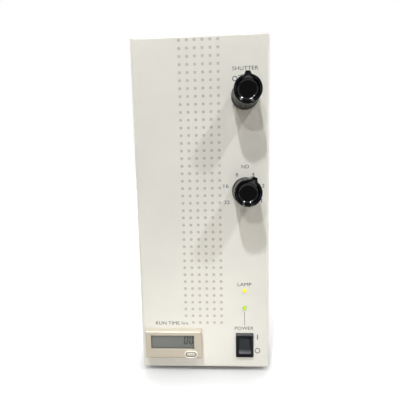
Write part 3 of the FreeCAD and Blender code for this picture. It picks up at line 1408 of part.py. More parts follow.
def power_rocker():
    """Rocker with a waisted face and a round belly, tilted to its on position."""
    half_w = SWITCH_WELL_W / 2.0 - ROCKER_SIDE_FIT
    half_h = SWITCH_WELL_H / 2.0 - ROCKER_END_FIT
    y_axis, z_axis = rocker_axis()
    waist = stand(ROCKER_PROUD) - y_axis
    crest = waist - ROCKER_V
    foot = half_h - ROCKER_END_SLOPE
    sag = waist - ROCKER_SAG
    x = SWITCH[0] - half_w

    def spot(y, z):
        return V(x, y_axis + y, z_axis + z)

    edges = [
        Part.Arc(spot(crest, half_h), spot(sag, half_h / 2.0), spot(waist, 0.0)).toShape(),
        Part.Arc(spot(waist, 0.0), spot(sag, -half_h / 2.0), spot(crest, -half_h)).toShape(),
        Part.LineSegment(spot(crest, -half_h), spot(ROCKER_SIDE, -foot)).toShape(),
        Part.Arc(spot(ROCKER_SIDE, -foot), spot(ROCKER_BELLY, 0.0), spot(ROCKER_SIDE, foot)).toShape(),
        Part.LineSegment(spot(ROCKER_SIDE, foot), spot(crest, half_h)).toShape(),
    ]
    body = Part.Face(Part.Wire(edges)).extrude(V(2 * half_w, 0, 0))
    body = body.fuse(rocker_pin(0.0))
    body.rotate(V(0, y_axis, z_axis), X_AXIS, -ROCKER_TILT)
    return body


# ---------------------------------------------------------------- hour counter
def oval_prism(centre, width, height, start, end):
    """Outline with straight sides and round ends, along Y."""
    radius = height / 2.0
    reach = width / 2.0 - radius
    x, z = centre
    body = block((x - reach, start, z - radius), (x + reach, end, z + radius))
    for way in (-1, 1):
        body = body.fuse(rod((x + way * reach, z), radius, start, end))
    return body


def lcd_window(grow, start, end):
    """Rectangular window of the display, grown all round by an amount."""
    x = COUNTER[0] + LCD_X
    z = COUNTER[1] + LCD_Z
    half_w = LCD_W / 2.0 + grow
    half_h = LCD_H / 2.0 + grow
    return block((x - half_w, start, z - half_h), (x + half_w, end, z + half_h))


def button_centre():
    """Middle (x, z) of the reset button."""
    return (COUNTER[0] + BUTTON_X, COUNTER[1] + BUTTON_Z)


def counter_bezel():
    """Front frame of the hour counter."""
    body = bevelled_frame(COUNTER, COUNTER_W, COUNTER_H, COUNTER_PROUD, COUNTER_BEVEL)
    front = stand(COUNTER_PROUD)
    body = body.cut(lcd_window(0.0, front - CUT_PAST, front + LCD_SINK))
    body = body.cut(lcd_window(LCD_LAP, front + LCD_SINK, FRONT + CUT_PAST))
    width = BUTTON_W + 2 * BUTTON_FIT
    height = BUTTON_H + 2 * BUTTON_FIT
    body = body.cut(oval_prism(button_centre(), width, height, front - CUT_PAST, FRONT + CUT_PAST))
    return body


def counter_display():
    """Display pane behind the frame."""
    front = stand(COUNTER_PROUD) + LCD_SINK
    return lcd_window(LCD_LAP - SEAT_FIT, front, front + LCD_GLASS)


def counter_reset_button():
    """Oval button in the frame of the counter."""
    front = stand(COUNTER_PROUD + BUTTON_PROUD)
    back = FRONT - BUTTON_TRAVEL - BODY_GAP
    body = oval_prism(button_centre(), BUTTON_W, BUTTON_H, front, back)
    body = body.removeSplitter()
    edges = [e for e in body.Edges if abs(e.BoundBox.YMax - front) < 0.001]
    return body.makeChamfer(BUTTON_BEVEL, edges)


def counter_housing():
    """Counter body behind the front panel."""
    x, z = COUNTER
    low = (x - COUNTER_BODY_W / 2.0, FRONT, z - COUNTER_BODY_H / 2.0)
    high = (x + COUNTER_BODY_W / 2.0, FRONT + COUNTER_BODY, z + COUNTER_BODY_H / 2.0)
    return block(low, high)


# ---------------------------------------------------------------- indicators
def indicator(z):
    """Small domed lamp: dome through the panel, flange behind it."""
    dome_y = stand(LED_DOME - LED_R)
    dome = ellipse_steps((dome_y, 0.0), (-LED_R, LED_R), 90.0, 0.0, LED_STEPS)
    end = PANEL_BACK + LED_BODY
    body = [(PANEL_BACK, LED_R), (PANEL_BACK, LED_FLANGE_R), (end, LED_FLANGE_R), (end, 0.0)]
    return turned(dome + body, (LED_X, BOTTOM + z))


def board_y():
    """Front face of the indicator board."""
    return PANEL_BACK + LED_BODY


def indicator_board():
    """Board that carries both indicators."""
    z = BOTTOM + (LAMP_LED_Z + POWER_LED_Z) / 2.0
    low = (LED_X - BOARD_W / 2.0, board_y(), z - BOARD_H / 2.0)
    return block(low, (LED_X + BOARD_W / 2.0, board_y() + BOARD, z + BOARD_H / 2.0))


def board_standoffs():
    """Spacers between the board and the front panel."""
    z = BOTTOM + (LAMP_LED_Z + POWER_LED_Z) / 2.0
    reach = BOARD_H / 2.0 - STANDOFF_INSET
    return group([rod((LED_X, z + way * reach), STANDOFF_R, PANEL_BACK, board_y()) for way in (-1, 1)])


# ---------------------------------------------------------------- supply and interlock
def ballast_module():
    """Potted supply with cooling fins along its top."""
    start = FRONT + BALLAST_START_Y
    end = start + BALLAST_LENGTH
    half = BALLAST_W / 2.0
    low_z = BOTTOM + SHEET
    body = soft_block((-half, start, low_z), (half, end, low_z + BALLAST_H), BALLAST_ROUND, Y_AXIS)
    step = (BALLAST_W - 2 * BALLAST_ROUND - FIN_THICK) / (BALLAST_FINS - 1)
    for i in range(BALLAST_FINS):
        x = -half + BALLAST_ROUND + step * i
        fin = block((x, start, low_z + BALLAST_H), (x + FIN_THICK, end, low_z + BALLAST_H + FIN_HEIGHT))
        body = body.fuse(fin)
    return body


def igniter_module():
    """Potted igniter hung from the bulkhead."""
    z = BAFFLE_TOP - BAFFLE_FLANGE - IGNITER_GAP - IGNITER_H
    low = (-IGNITER_W / 2.0, BULK_FRONT - IGNITER_DEPTH, z)
    return soft_block(low, (IGNITER_W / 2.0, BULK_FRONT, z + IGNITER_H), IGNITER_ROUND, Y_AXIS)


def plunger_centre():
    """Centre (y, z) of the interlock plunger."""
    return (FRONT + INTERLOCK_Y + INTERLOCK_WIDTH / 2.0, BAFFLE_TOP + INTERLOCK_HEIGHT / 2.0)


def interlock_switch():
    """Switch body whose bore holds the plunger."""
    x = BAFFLE_START_X
    y = FRONT + INTERLOCK_Y
    high = (x + INTERLOCK_LENGTH, y + INTERLOCK_WIDTH, BAFFLE_TOP + INTERLOCK_HEIGHT)
    body = block((x, y, BAFFLE_TOP), high)
    y, z = plunger_centre()
    hole = Part.makeCylinder(PLUNGER_R + RUN_FIT, PLUNGER_GRIP + BODY_GAP, V(x, y, z), X_AXIS)
    return body.cut(hole)


def interlock_plunger():
    """Plunger that the hatch presses in."""
    y, z = plunger_centre()
    start = HATCH_INNER_X + BODY_GAP
    length = BAFFLE_START_X + PLUNGER_GRIP - start
    return Part.makeCylinder(PLUNGER_R, length, V(start, y, z), X_AXIS)


# ---------------------------------------------------------------- all nodes
def nodes():
    """Every sub-part by name."""
    knob = knob_solid()
    return {
        "front_panel": front_panel(),
        "case_cover": case_cover(),
        "base_plate": base_plate(),
        "rear_panel": rear_panel(),
        "chassis_rails": chassis_rails(),
        "case_screws": case_screws(),
        "rear_panel_screws": rear_panel_screws(),
        "rubber_feet": rubber_feet(),
        "foot_screws": foot_screws(),
        "lamp_hatch": lamp_hatch(),
        "hatch_screws": hatch_screws(),
        "shutter_knob": placed(knob, SHUTTER_AXIS),
        "shutter_knob_cap": knob_cap(SHUTTER_AXIS),
        "shutter_shaft": control_shaft(SHUTTER_AXIS, BULK_REAR + REAR_BUSH_NOSE, BUSH_REAR + BODY_GAP),
        "nd_knob": placed(knob, ND_AXIS, ND_POINTER_ANGLE),
        "nd_knob_cap": knob_cap(ND_AXIS),
        "nd_shaft": control_shaft(
            ND_AXIS, GEAR_Y + GEAR_THICK + DRIVE_HUB, BULK_FRONT - REAR_BUSH_FLANGE - BODY_GAP - SHOULDER
        ),
        "front_bushes": front_bushes(),
        "bush_nuts": bush_nuts(),
        "rear_bushes": rear_bushes(),
        "optics_bulkhead": optics_bulkhead(),
        "lamp_rods": lamp_rods(),
        "lamp_carrier": lamp_carrier(),
        "lamp_reflector": lamp_reflector(),
        "lamp_burner": lamp_burner(),
        "lamp_socket": lamp_socket(),
        "heat_filter": heat_filter(),
        "heat_baffle": heat_baffle(),
        "shutter_hub": shutter_hub(),
        "shutter_blade": shutter_blade(),
        "shutter_stop_pins": shutter_stop_pins(),
        "nd_drive_gear": nd_drive_gear(),
        "nd_idler_gear": nd_idler_gear(),
        "nd_wheel_gear": nd_wheel_gear(),
        "nd_wheel": nd_wheel(),
        "nd_filters": nd_filters(),
        "gear_spindles": gear_spindles(),
        "guide_port_collar": guide_port_collar(),
        "guide_clamp_screw": guide_clamp_screw(),
        "fan_housing": fan_housing(),
        "fan_rotor": fan_rotor(),
        "fan_guard": fan_guard(),
        "fan_screws": fan_screws(),
        "power_inlet": power_inlet(),
        "inlet_pins": inlet_pins(),
        "fuse_drawer": fuse_drawer(),
        "power_switch_housing": power_switch_housing(),
        "power_rocker": power_rocker(),
        "counter_bezel": counter_bezel(),
        "counter_display": counter_display(),
        "counter_reset_button": counter_reset_button(),
        "counter_housing": counter_housing(),
        "lamp_led": indicator(LAMP_LED_Z),
        "power_led": indicator(POWER_LED_Z),
        "indicator_board": indicator_board(),
        "board_standoffs": board_standoffs(),
        "ballast_module": ballast_module(),
        "igniter_module": igniter_module(),
        "interlock_switch": interlock_switch(),
        "interlock_plunger": interlock_plunger(),
    }


def main():
    """Make every node and write it as a STEP file."""
    os.makedirs("parts", exist_ok=True)
    for name, shape in nodes().items():
        shape.exportStep(os.path.join("parts", name + ".step"))


main()
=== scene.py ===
"""Fibre optic illuminator: stage, finishes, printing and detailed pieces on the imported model.

Lengths are metres in the model's own frame: +X right seen from the front, +Y to the rear, +Z up.
"""
import json
import math

import bmesh
import bpy
from bpy.props import FloatProperty, FloatVectorProperty, IntProperty, PointerProperty, StringProperty
from mathutils import Matrix, Vector


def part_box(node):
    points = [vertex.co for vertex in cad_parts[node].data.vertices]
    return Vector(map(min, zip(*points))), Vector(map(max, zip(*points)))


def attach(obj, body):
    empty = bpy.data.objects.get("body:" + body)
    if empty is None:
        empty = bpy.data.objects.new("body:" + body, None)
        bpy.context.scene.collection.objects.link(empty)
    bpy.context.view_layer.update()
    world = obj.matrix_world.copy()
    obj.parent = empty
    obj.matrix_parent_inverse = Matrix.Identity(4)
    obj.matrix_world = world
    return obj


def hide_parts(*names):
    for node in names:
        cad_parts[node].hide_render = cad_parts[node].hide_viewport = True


bl_info = {
    "name": "Fibre Optic Illuminator",
    "version": (1, 0, 0),
    "blender": (4, 5, 0),
    "location": "View3D > Sidebar > Illuminator",
    "description": "Finishes, printing and detailed pieces of a bench fibre optic illuminator",
    "category": "Object",
}

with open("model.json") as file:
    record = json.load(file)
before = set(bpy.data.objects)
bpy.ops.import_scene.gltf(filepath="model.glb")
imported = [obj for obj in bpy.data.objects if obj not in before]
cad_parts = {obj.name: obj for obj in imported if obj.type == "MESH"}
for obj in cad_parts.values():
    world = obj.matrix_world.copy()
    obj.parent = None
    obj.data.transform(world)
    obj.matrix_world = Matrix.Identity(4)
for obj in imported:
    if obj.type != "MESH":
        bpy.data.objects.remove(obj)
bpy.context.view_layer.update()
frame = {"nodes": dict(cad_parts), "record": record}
MM = 0.001
OUTWARD = Vector((0.0, -1.0, 0.0))


def middle(node):
    """Centre of a node's box."""
    low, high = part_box(node)
    return (low + high) / 2.0


PANEL_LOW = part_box("front_panel")[0]
FACE_Y = PANEL_LOW.y
REAR_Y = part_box("rear_panel")[1].y
SHUTTER_AXIS = middle("shutter_shaft")
ND_AXIS = middle("nd_shaft")


# ------------------------------------------------------------------ sizes and colours
def length(name, description, default):
    """A length in metres, written in millimetres."""
    return FloatProperty(name=name, description=description, default=default * MM, unit="LENGTH", precision=5)


def tone(name, description, red, green, blue):
    """A colour, written as it looks on a screen, from 0 to 255."""
    return FloatVectorProperty(
        name=name, description=description, default=linear(red, green, blue)[:3],
        size=3, min=0.0, max=1.0, subtype="COLOR",
    )


def linear(red, green, blue):
    """Linear colour from screen values of 0 to 255."""
    values = []
    for value in (red, green, blue):
        share = value / 255.0
        values.append(share / 12.92 if share <= 0.04045 else ((share + 0.055) / 1.055) ** 2.4)
    return (*values, 1.0)


class IlluminatorStage(bpy.types.PropertyGroup):
    lens: FloatProperty(name="Lens", description="Focal length on a 36 mm sensor", default=27.43, unit="CAMERA")
    camera_place: FloatVectorProperty(
        name="Camera Place", description="Where the camera stands", default=(0.0105, -0.3889, 0.1796),
        subtype="TRANSLATION",
    )
    camera_turn: FloatVectorProperty(
        name="Camera Turn", description="Camera's angles about X, Y and Z",
        default=[math.radians(a) for a in (83.53, 1.2194, 2.6958)], subtype="EULER",
    )
    ambient: FloatProperty(name="Ambient", description="Strength of the surrounding light", default=0.1, min=0.0)
    floor_size: FloatProperty(name="Floor Size", description="Side of the floor", default=24.0, unit="LENGTH")


class IlluminatorPrint(bpy.types.PropertyGroup):
    dot: length("Dot Diameter", "Printed dots of the panel's pattern", 2.5)
    pitch: length("Dot Pitch", "Distance between dots both ways", 6.1)
    columns: IntProperty(name="Dot Columns", description="Dots across", default=6, min=1)
    rows: IntProperty(name="Dot Rows", description="Dots down", default=39, min=1)
    left: length("First Column", "Left column's place from the panel's middle", -15.94)
    top: length("First Row", "Top row's height over the panel's bottom edge", 272.84)
    proud: length("Ink Thickness", "How far the printing stands above the paint", 0.03)
    dot_tone: tone("Dot Colour", "Colour of the dots", 202, 197, 187)
    ink_tone: tone("Ink Colour", "Colour of letters, rings and lines", 74, 80, 88)


class IlluminatorKnobs(bpy.types.PropertyGroup):
    radius: length("Radius", "Ribbed side's outer radius", 10.4)
    skirt_radius: length("Skirt Radius", "Radius of the skirt at the panel", 10.9)
    skirt: length("Skirt Height", "Where the skirt ends, from the panel", 3.2)
    reach: length("Reach", "Rim's crown from the panel", 24.0)
    crown: length("Crown Radius", "Radius at which the rim stands highest", 9.6)
    rim_inner: length("Rim Inner Radius", "Where the rim's sloped inner side ends", 7.7)
    rim_drop: length("Rim Height", "Height of the rim's sloped inner side", 2.0)
    ribs: IntProperty(name="Ribs", description="Ribs round the side", default=54, min=12)
    rib_depth: length("Rib Depth", "Depth between the ribs", 0.42)
    fillet: length("Cap Fillet", "Width of the hollow curve round the cap", 2.6)
    dish: length("Dish", "Depth of the cap's hollow", 1.5)
    pointer_tip: length("Pointer Tip", "Pointer's tip from the axis", 12.8)
    bore: length("Bore", "Radius of the hole for the shaft", 3.05)
    bore_end: length("Bore End", "Where the shaft's hole ends, from the panel", 19.2)
    recess: length("Recess", "Depth of the cap's seat under the rim", 2.1)
    rib_start: length("Rib Start", "Where the ribs begin, from the skirt's end", 1.3)
    rim: length("Smooth Rim", "Height of the smooth rim beyond the ribs", 2.6)


class IlluminatorSwitch(bpy.types.PropertyGroup):
    axis_back: length("Pivot Depth", "Pivot's depth behind the panel's face", 2.0)
    tilt: FloatProperty(
        name="Tilt", description="Rocker's angle, switched on", default=math.radians(9.0), unit="ROTATION",
    )
    pin: length("Pin Length", "How far each pivot pin stands out at the side", 0.7)
    side_softening: length("Side Softening", "Width of the rounded side edges", 0.45)


class IlluminatorCounter(bpy.types.PropertyGroup):
    figures: StringProperty(name="Figures", description="Digits that the display shows", default="00")
    figures_left: length("Figures Left", "First digit's place from the panel's middle", -18.3)
    figures_base: length("Figures Base", "Digits' foot over the panel's bottom edge", 23.6)
    figures_step: length("Figures Step", "Distance from one digit to the next", 4.5)
    digit_width: length("Digit Width", "Width of one digit", 3.5)
    digit_height: length("Digit Height", "Height of one digit", 8.3)
    digit_slant: length("Digit Slant", "How far a digit's top leans to the right", 0.9)
    bar: length("Bar", "Width of a digit's bars", 1.05)
    # The display's dark border is painted shade of the window's recess.
    edge: length("Display Edge", "Width of the dark border inside the window", 0.7)
    ring: length("Button Ring", "Width of the raised ring round the button", 1.1)
    ring_gap: length("Ring Gap", "Space between the button and its ring", 0.65)


class IlluminatorScrews(bpy.types.PropertyGroup):
    head: length("Head", "Radius of the head", 2.9)
    shank: length("Shank", "Radius of the shank", 1.5)
    recess: length("Recess", "Half the length of the cross recess", 1.65)
    recess_half: length("Recess Width", "Half the width of the cross recess", 0.42)
    recess_depth: length("Recess Depth", "Depth of the cross recess", 1.1)
    seed: IntProperty(name="Seed", description="Turns the screws by chance", default=7)


class IlluminatorGuard(bpy.types.PropertyGroup):
    wire: length("Wire", "Radius of the guard's wire", 0.8)
    rings: IntProperty(name="Rings", description="Wire rings", default=5, min=2)
    first: length("First Ring", "Radius of the innermost ring", 4.4)
    last: length("Last Ring", "Radius of the outermost ring", 36.0)
    eye: length("Eye", "Radius of each screw's wire eye", 2.8)


# ------------------------------------------------------------------ node trees
class Tree:
    """Short calls that add and join the nodes of one tree."""

    def __init__(self, tree):
        self.tree = tree

    def add(self, kind, inputs=None, **options):
        """New node with options set and inputs set or joined."""
        node = self.tree.nodes.new(kind)
        for key, value in options.items():
            setattr(node, key, value)
        for key, value in (inputs or {}).items():
            self.feed(node.inputs[key], value)
        return node

    def feed(self, socket, value):
        """Join a socket to a socket, or set its own value."""
        if isinstance(value, bpy.types.NodeSocket):
            self.tree.links.new(value, socket)
        else:
            socket.default_value = value

    def math(self, operation, first, second=0.0, clamp=False):
        """Result of one arithmetic step."""
        return self.add("ShaderNodeMath", {0: first, 1: second}, operation=operation, use_clamp=clamp).outputs[0]

    def mix(self, share, first, second):
        """Blend of two colours."""
        return self.add("ShaderNodeMix", {0: share, 6: first, 7: second}, data_type="RGBA").outputs[2]

    def span(self, value, low, high, to_low=0.0, to_high=1.0):
        """Value moved from one range to another, held inside it."""
        inputs = {0: value, 1: low, 2: high, 3: to_low, 4: to_high}
        return self.add("ShaderNodeMapRange", inputs).outputs[0]

    def noise(self, vector, scale, detail, roughness):
        """Value of a noise texture."""
        inputs = {"Vector": vector, "Scale": scale, "Detail": detail, "Roughness": roughness}
        return self.add("ShaderNodeTexNoise", inputs).outputs[0]

    def place(self):
        """Object coordinates."""
        return self.add("ShaderNodeTexCoord").outputs["Object"]


def effect(name, inputs, outputs):
    """New shader group with named inputs and outputs; returns its tree, its input node and its output node."""
    tree = bpy.data.node_groups.new(name, "ShaderNodeTree")
    for label, default in inputs.items():
        socket = tree.interface.new_socket(name=label, in_out="INPUT", socket_type="NodeSocketFloat")
        socket.default_value = default
    for label, kind in outputs.items():
        tree.interface.new_socket(name=label, in_out="OUTPUT", socket_type="NodeSocket" + kind)
    work = Tree(tree)
    return work, work.add("NodeGroupInput"), work.add("NodeGroupOutput")


def make_grain():
    """Fine skin of sprayed paint or moulded plastic, and a slow drift of tone."""
    inputs = {"Grain Scale": 1800.0, "Drift Scale": 22.0}
    work, given, out = effect("Surface Grain", inputs, {"Height": "Float", "Drift": "Float"})
    place = work.place()
    fine = work.noise(place, given.outputs["Grain Scale"], 2.0, 0.55)
    slow = work.noise(place, given.outputs["Drift Scale"], 4.0, 0.6)
    work.feed(out.inputs["Height"], fine)
    work.feed(out.inputs["Drift"], work.span(slow, 0.3, 0.7))
    return work.tree


def make_edge_wear_and_sheen():
    """Softened edges, and a mask of where they are lighter: partly abrasion from rubbing, partly painted highlight of
    the light that edges catch.
    """
    inputs = {"Radius": 0.0003, "Wear": 0.5, "Wear Scale": 160.0}
    work, given, out = effect("Edge Wear And Sheen", inputs, {"Mask": "Float", "Normal": "Vector"})
    soft = work.add("ShaderNodeBevel", {"Radius": given.outputs["Radius"]}, samples=4).outputs[0]
    true = work.add("ShaderNodeNewGeometry").outputs["Normal"]
    along = work.add("ShaderNodeVectorMath", {0: soft, 1: true}, operation="DOT_PRODUCT").outputs["Value"]
    turned = work.span(along, 0.995, 0.8)
    patchy = work.span(work.noise(work.place(), given.outputs["Wear Scale"], 4.0, 0.7), 0.42, 0.62)
    rubbed_and_lit = work.math("MULTIPLY", turned, patchy)
    work.feed(out.inputs["Mask"], work.math("MULTIPLY", rubbed_and_lit, given.outputs["Wear"], clamp=True))
    work.feed(out.inputs["Normal"], soft)
    return work.tree


def make_dust():
    """Mask of thin dust on what faces up."""
    inputs = {"Amount": 0.15, "Dust Scale": 90.0}
    work, given, out = effect("Dust", inputs, {"Mask": "Float"})
    normal = work.add("ShaderNodeNewGeometry").outputs["Normal"]
    up = work.add("ShaderNodeSeparateXYZ", {0: normal}).outputs["Z"]
    facing = work.span(up, 0.45, 1.0)
    patchy = work.span(work.noise(work.place(), given.outputs["Dust Scale"], 5.0, 0.7), 0.35, 0.7)
    lying = work.math("MULTIPLY", facing, patchy)
    work.feed(out.inputs["Mask"], work.math("MULTIPLY", lying, given.outputs["Amount"], clamp=True))
    return work.tree


def make_brushed():
    """Long fine lines left by turning, rolling or brushing."""
    inputs = {"Across X": 1.0, "Across Y": 1.0, "Across Z": 1.0, "Line Scale": 900.0}
    work, given, out = effect("Tool Lines", inputs, {"Height": "Float", "Shade": "Float"})
    ways = [given.outputs["Across " + axis] for axis in "XYZ"]
    stretch = work.add("ShaderNodeCombineXYZ", dict(enumerate(ways))).outputs[0]
    moved = work.add("ShaderNodeVectorMath", {0: work.place(), 1: stretch}, operation="MULTIPLY").outputs[0]
    lines = work.noise(moved, given.outputs["Line Scale"], 3.0, 0.6)
    work.feed(out.inputs["Height"], lines)
    work.feed(out.inputs["Shade"], work.span(lines, 0.3, 0.7))
    return work.tree


EFFECT_MAKERS = {"grain": make_grain, "edges": make_edge_wear_and_sheen, "dust": make_dust, "lines": make_brushed}
EFFECTS = {}


def effect_tree(name):
    """Each shared effect is built once."""
    if name not in EFFECTS:
        EFFECTS[name] = EFFECT_MAKERS[name]()
    return EFFECTS[name]


class Finish(Tree):
    """A material under construction round one Principled shader."""

    def __init__(self, name, **plain):
        self.material = bpy.data.materials.new(name)
        self.material.use_nodes = True
        super().__init__(self.material.node_tree)
        self.tree.nodes.clear()
        self.shader = self.add("ShaderNodeBsdfPrincipled")
        out = self.add("ShaderNodeOutputMaterial")
        self.tree.links.new(self.shader.outputs[0], out.inputs["Surface"])
        for key, value in plain.items():
            self.shader.inputs[key.replace("_", " ")].default_value = value

    def effect(self, name, **values):
        """A shared effect with this material's own values."""
        node = self.add("ShaderNodeGroup", node_tree=effect_tree(name))
        for key, value in values.items():
            self.feed(node.inputs[key.replace("_", " ")], value)
        return node.outputs

    def put(self, socket, value):
        """Set or join one socket of the shader."""
        self.feed(self.shader.inputs[socket], value)

    def relief(self, height, distance, normal=None):
        """Bump from a height, over softened edges where they are given."""
        inputs = {"Height": height, "Distance": distance, "Strength": 1.0}
        if normal is not None:
            inputs["Normal"] = normal
        self.put("Normal", self.add("ShaderNodeBump", inputs).outputs[0])


def shade(colour, factor):
    """Colour made darker or lighter."""
    return (*[min(1.0, value * factor) for value in colour[:3]], 1.0)


DUST = linear(186, 180, 168)
METAL_DUST = linear(170, 165, 155)
TONE_DRIFT = 0.03


def skin(name, colour, rough, grain=1800.0, relief=0.00002, radius=0.0003, wear=0.3, worn=None, dust=0.1, **plain):
    """Painted or moulded surface: grain, tone drift, edges lighter partly from rubbing and partly as painted
    highlight, and dust.
    """
    finish = Finish(name, **plain)
    skin_out = finish.effect("grain", Grain_Scale=grain)
    edge = finish.effect("edges", Radius=radius, Wear=wear)
    base = finish.mix(skin_out["Drift"], shade(colour, 1.0 - TONE_DRIFT), shade(colour, 1.0 + TONE_DRIFT))
    # Lighter edges: partly abrasion from rubbing, partly painted highlight.
    base = finish.mix(edge["Mask"], base, worn or shade(colour, 1.25))
    base = finish.mix(finish.effect("dust", Amount=dust)["Mask"], base, DUST)
    finish.put("Base Color", base)
    finish.put("Roughness", finish.span(skin_out["Drift"], 0.0, 1.0, rough * 0.9, min(1.0, rough * 1.12)))
    finish.relief(skin_out["Height"], relief, edge["Normal"])
    return finish


def metal(name, colour, rough, across=(1.0, 0.04, 1.0), lines=900.0, relief=0.000006, wear=0.4, metallic=1.0):
    """Bare, plated or turned metal with tool lines and bright edges."""
    finish = Finish(name, Metallic=metallic)
    tool = finish.effect("lines", Across_X=across[0], Across_Y=across[1], Across_Z=across[2], Line_Scale=lines)
    edge = finish.effect("edges", Radius=0.0002, Wear=wear)
    drift = finish.effect("grain", Grain_Scale=600.0)["Drift"]
    base = finish.mix(tool["Shade"], shade(colour, 0.93), shade(colour, 1.05))
    base = finish.mix(drift, base, shade(colour, 0.9))
    # Brighter edges: partly abrasion, partly painted highlight.
    base = finish.mix(edge["Mask"], base, shade(colour, 1.35))
    base = finish.mix(finish.effect("dust", Amount=0.05)["Mask"], base, METAL_DUST)
    finish.put("Base Color", base)
    finish.put("Roughness", finish.span(tool["Shade"], 0.0, 1.0, rough * 0.8, min(1.0, rough * 1.25)))
    finish.relief(tool["Height"], relief, edge["Normal"])
    return finish


def glass(name, colour):
    """Clear glass with faint smears."""
    rough = 0.03
    finish = Finish(name, IOR=1.5, Transmission_Weight=1.0)
    smear = finish.effect("grain", Grain_Scale=300.0, Drift_Scale=60.0)
    finish.put("Base Color", finish.mix(smear["Drift"], colour, shade(colour, 0.96)))
    finish.put("Roughness", finish.span(smear["Drift"], 0.0, 1.0, rough, rough * 2.5))
    finish.relief(smear["Height"], 0.000001)
    return finish


def lens(name, node, glow, rim, strength):
    """Lit indicator: bright in the middle, deeper at the rim."""
    finish = Finish(name, Roughness=0.2, Specular_IOR_Level=0.2, Emission_Strength=strength)
    centre = middle(node)
    move = finish.add("ShaderNodeMapping", {"Vector": finish.place(), "Location": [-c for c in centre]})
    spot = finish.add("ShaderNodeVectorMath", {0: move.outputs[0], 1: (1.0, 0.0, 1.0)}, operation="MULTIPLY")
    away = finish.add("ShaderNodeVectorMath", {0: spot.outputs[0]}, operation="LENGTH").outputs["Value"]
    share = finish.span(away, 0.3 * MM, 1.4 * MM)
    body = finish.effect("grain", Grain_Scale=900.0)
    finish.put("Emission Color", finish.mix(share, glow, rim))
    finish.put("Base Color", finish.mix(body["Drift"], rim, shade(rim, 0.85)))
    finish.relief(body["Height"], 0.000002)
    return finish


def filter_glass(name):
    """Grey filters, each place on the wheel darker than the one before."""
    places = 6.0
    finish = Finish(name, Roughness=0.05, Metallic=0.15, Coat_Weight=0.5)
    centre = middle("nd_wheel")
    move = finish.add("ShaderNodeMapping", {"Vector": finish.place(), "Location": [-c for c in centre]})
    sides = finish.add("ShaderNodeSeparateXYZ", {0: move.outputs[0]})
    turn = finish.math("ARCTAN2", sides.outputs["Z"], sides.outputs["X"])
    share = finish.span(turn, -math.pi, math.pi)
    step = finish.add("ShaderNodeMath", {0: share, 1: 1.0 / places}, operation="SNAP").outputs[0]
    smear = finish.effect("grain", Grain_Scale=300.0)
    base = finish.mix(step, linear(150, 154, 156), linear(40, 42, 44))
    finish.put("Base Color", finish.mix(smear["Drift"], base, linear(90, 93, 96)))
    finish.relief(smear["Height"], 0.000001)
    return finish


def display_face(name):
    """Reflective liquid-crystal face, lighter at the left than at the right, with painted shade of the window's
    recess along its left and top edges.
    """
    left_tone, right_tone = linear(113, 115, 109), linear(100, 103, 101)
    finish = Finish(name, Roughness=0.22, Coat_Weight=0.8, Coat_Roughness=0.05)
    low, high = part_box("counter_display")
    place = finish.add("ShaderNodeSeparateXYZ", {0: finish.place()})
    # Painted shade of the window's recess: darker near its left and top edges.
    side = finish.span(place.outputs["X"], low.x + 1.2 * MM, low.x + 3.5 * MM)
    top = finish.span(place.outputs["Z"], high.z - 1.2 * MM, high.z - 3.0 * MM)
    inner = finish.math("MULTIPLY", side, top)
    cells = finish.effect("grain", Grain_Scale=2600.0, Drift_Scale=70.0)
    along = finish.span(place.outputs["X"], low.x + 4.0 * MM, high.x - 2.0 * MM)
    face = finish.mix(along, left_tone, right_tone)
    face = finish.mix(cells["Drift"], shade(left_tone, 0.96), face)
    # The darker colour here is the painted recess shade.
    finish.put("Base Color", finish.mix(inner, linear(105, 105, 98), face))
    finish.relief(cells["Height"], 0.000002)
    return finish


def board(name):
    """Solder-masked circuit board with faint tracks."""
    finish = Finish(name, Coat_Weight=0.4)
    tracks = finish.add("ShaderNodeTexBrick", {"Vector": finish.place(), "Scale": 180.0, "Mortar Size": 0.03})
    base = finish.mix(tracks.outputs["Fac"], linear(22, 84, 52), linear(40, 116, 70))
    grain = finish.effect("grain", Grain_Scale=1500.0)
    finish.put("Base Color", finish.mix(grain["Drift"], base, linear(20, 74, 46)))
    finish.put("Roughness", finish.span(grain["Drift"], 0.0, 1.0, 0.3, 0.42))
    finish.relief(tracks.outputs["Fac"], 0.00003)
    return finish


def print_and_painted_shade(name, colour):
    """Matt film, slightly uneven: screen printing, and also the painted shade in the display's border and the
    button's gap.
    """
    finish = Finish(name)
    film = finish.effect("grain", Grain_Scale=3200.0, Drift_Scale=140.0)
    finish.put("Base Color", finish.mix(film["Drift"], shade(colour, 0.94), shade(colour, 1.06)))
    finish.put("Roughness", finish.span(film["Drift"], 0.0, 1.0, 0.5, 0.65))
    finish.relief(film["Height"], 0.000004)
    return finish


EVERY_WAY = (1.0, 1.0, 1.0)
FINISHES = {}


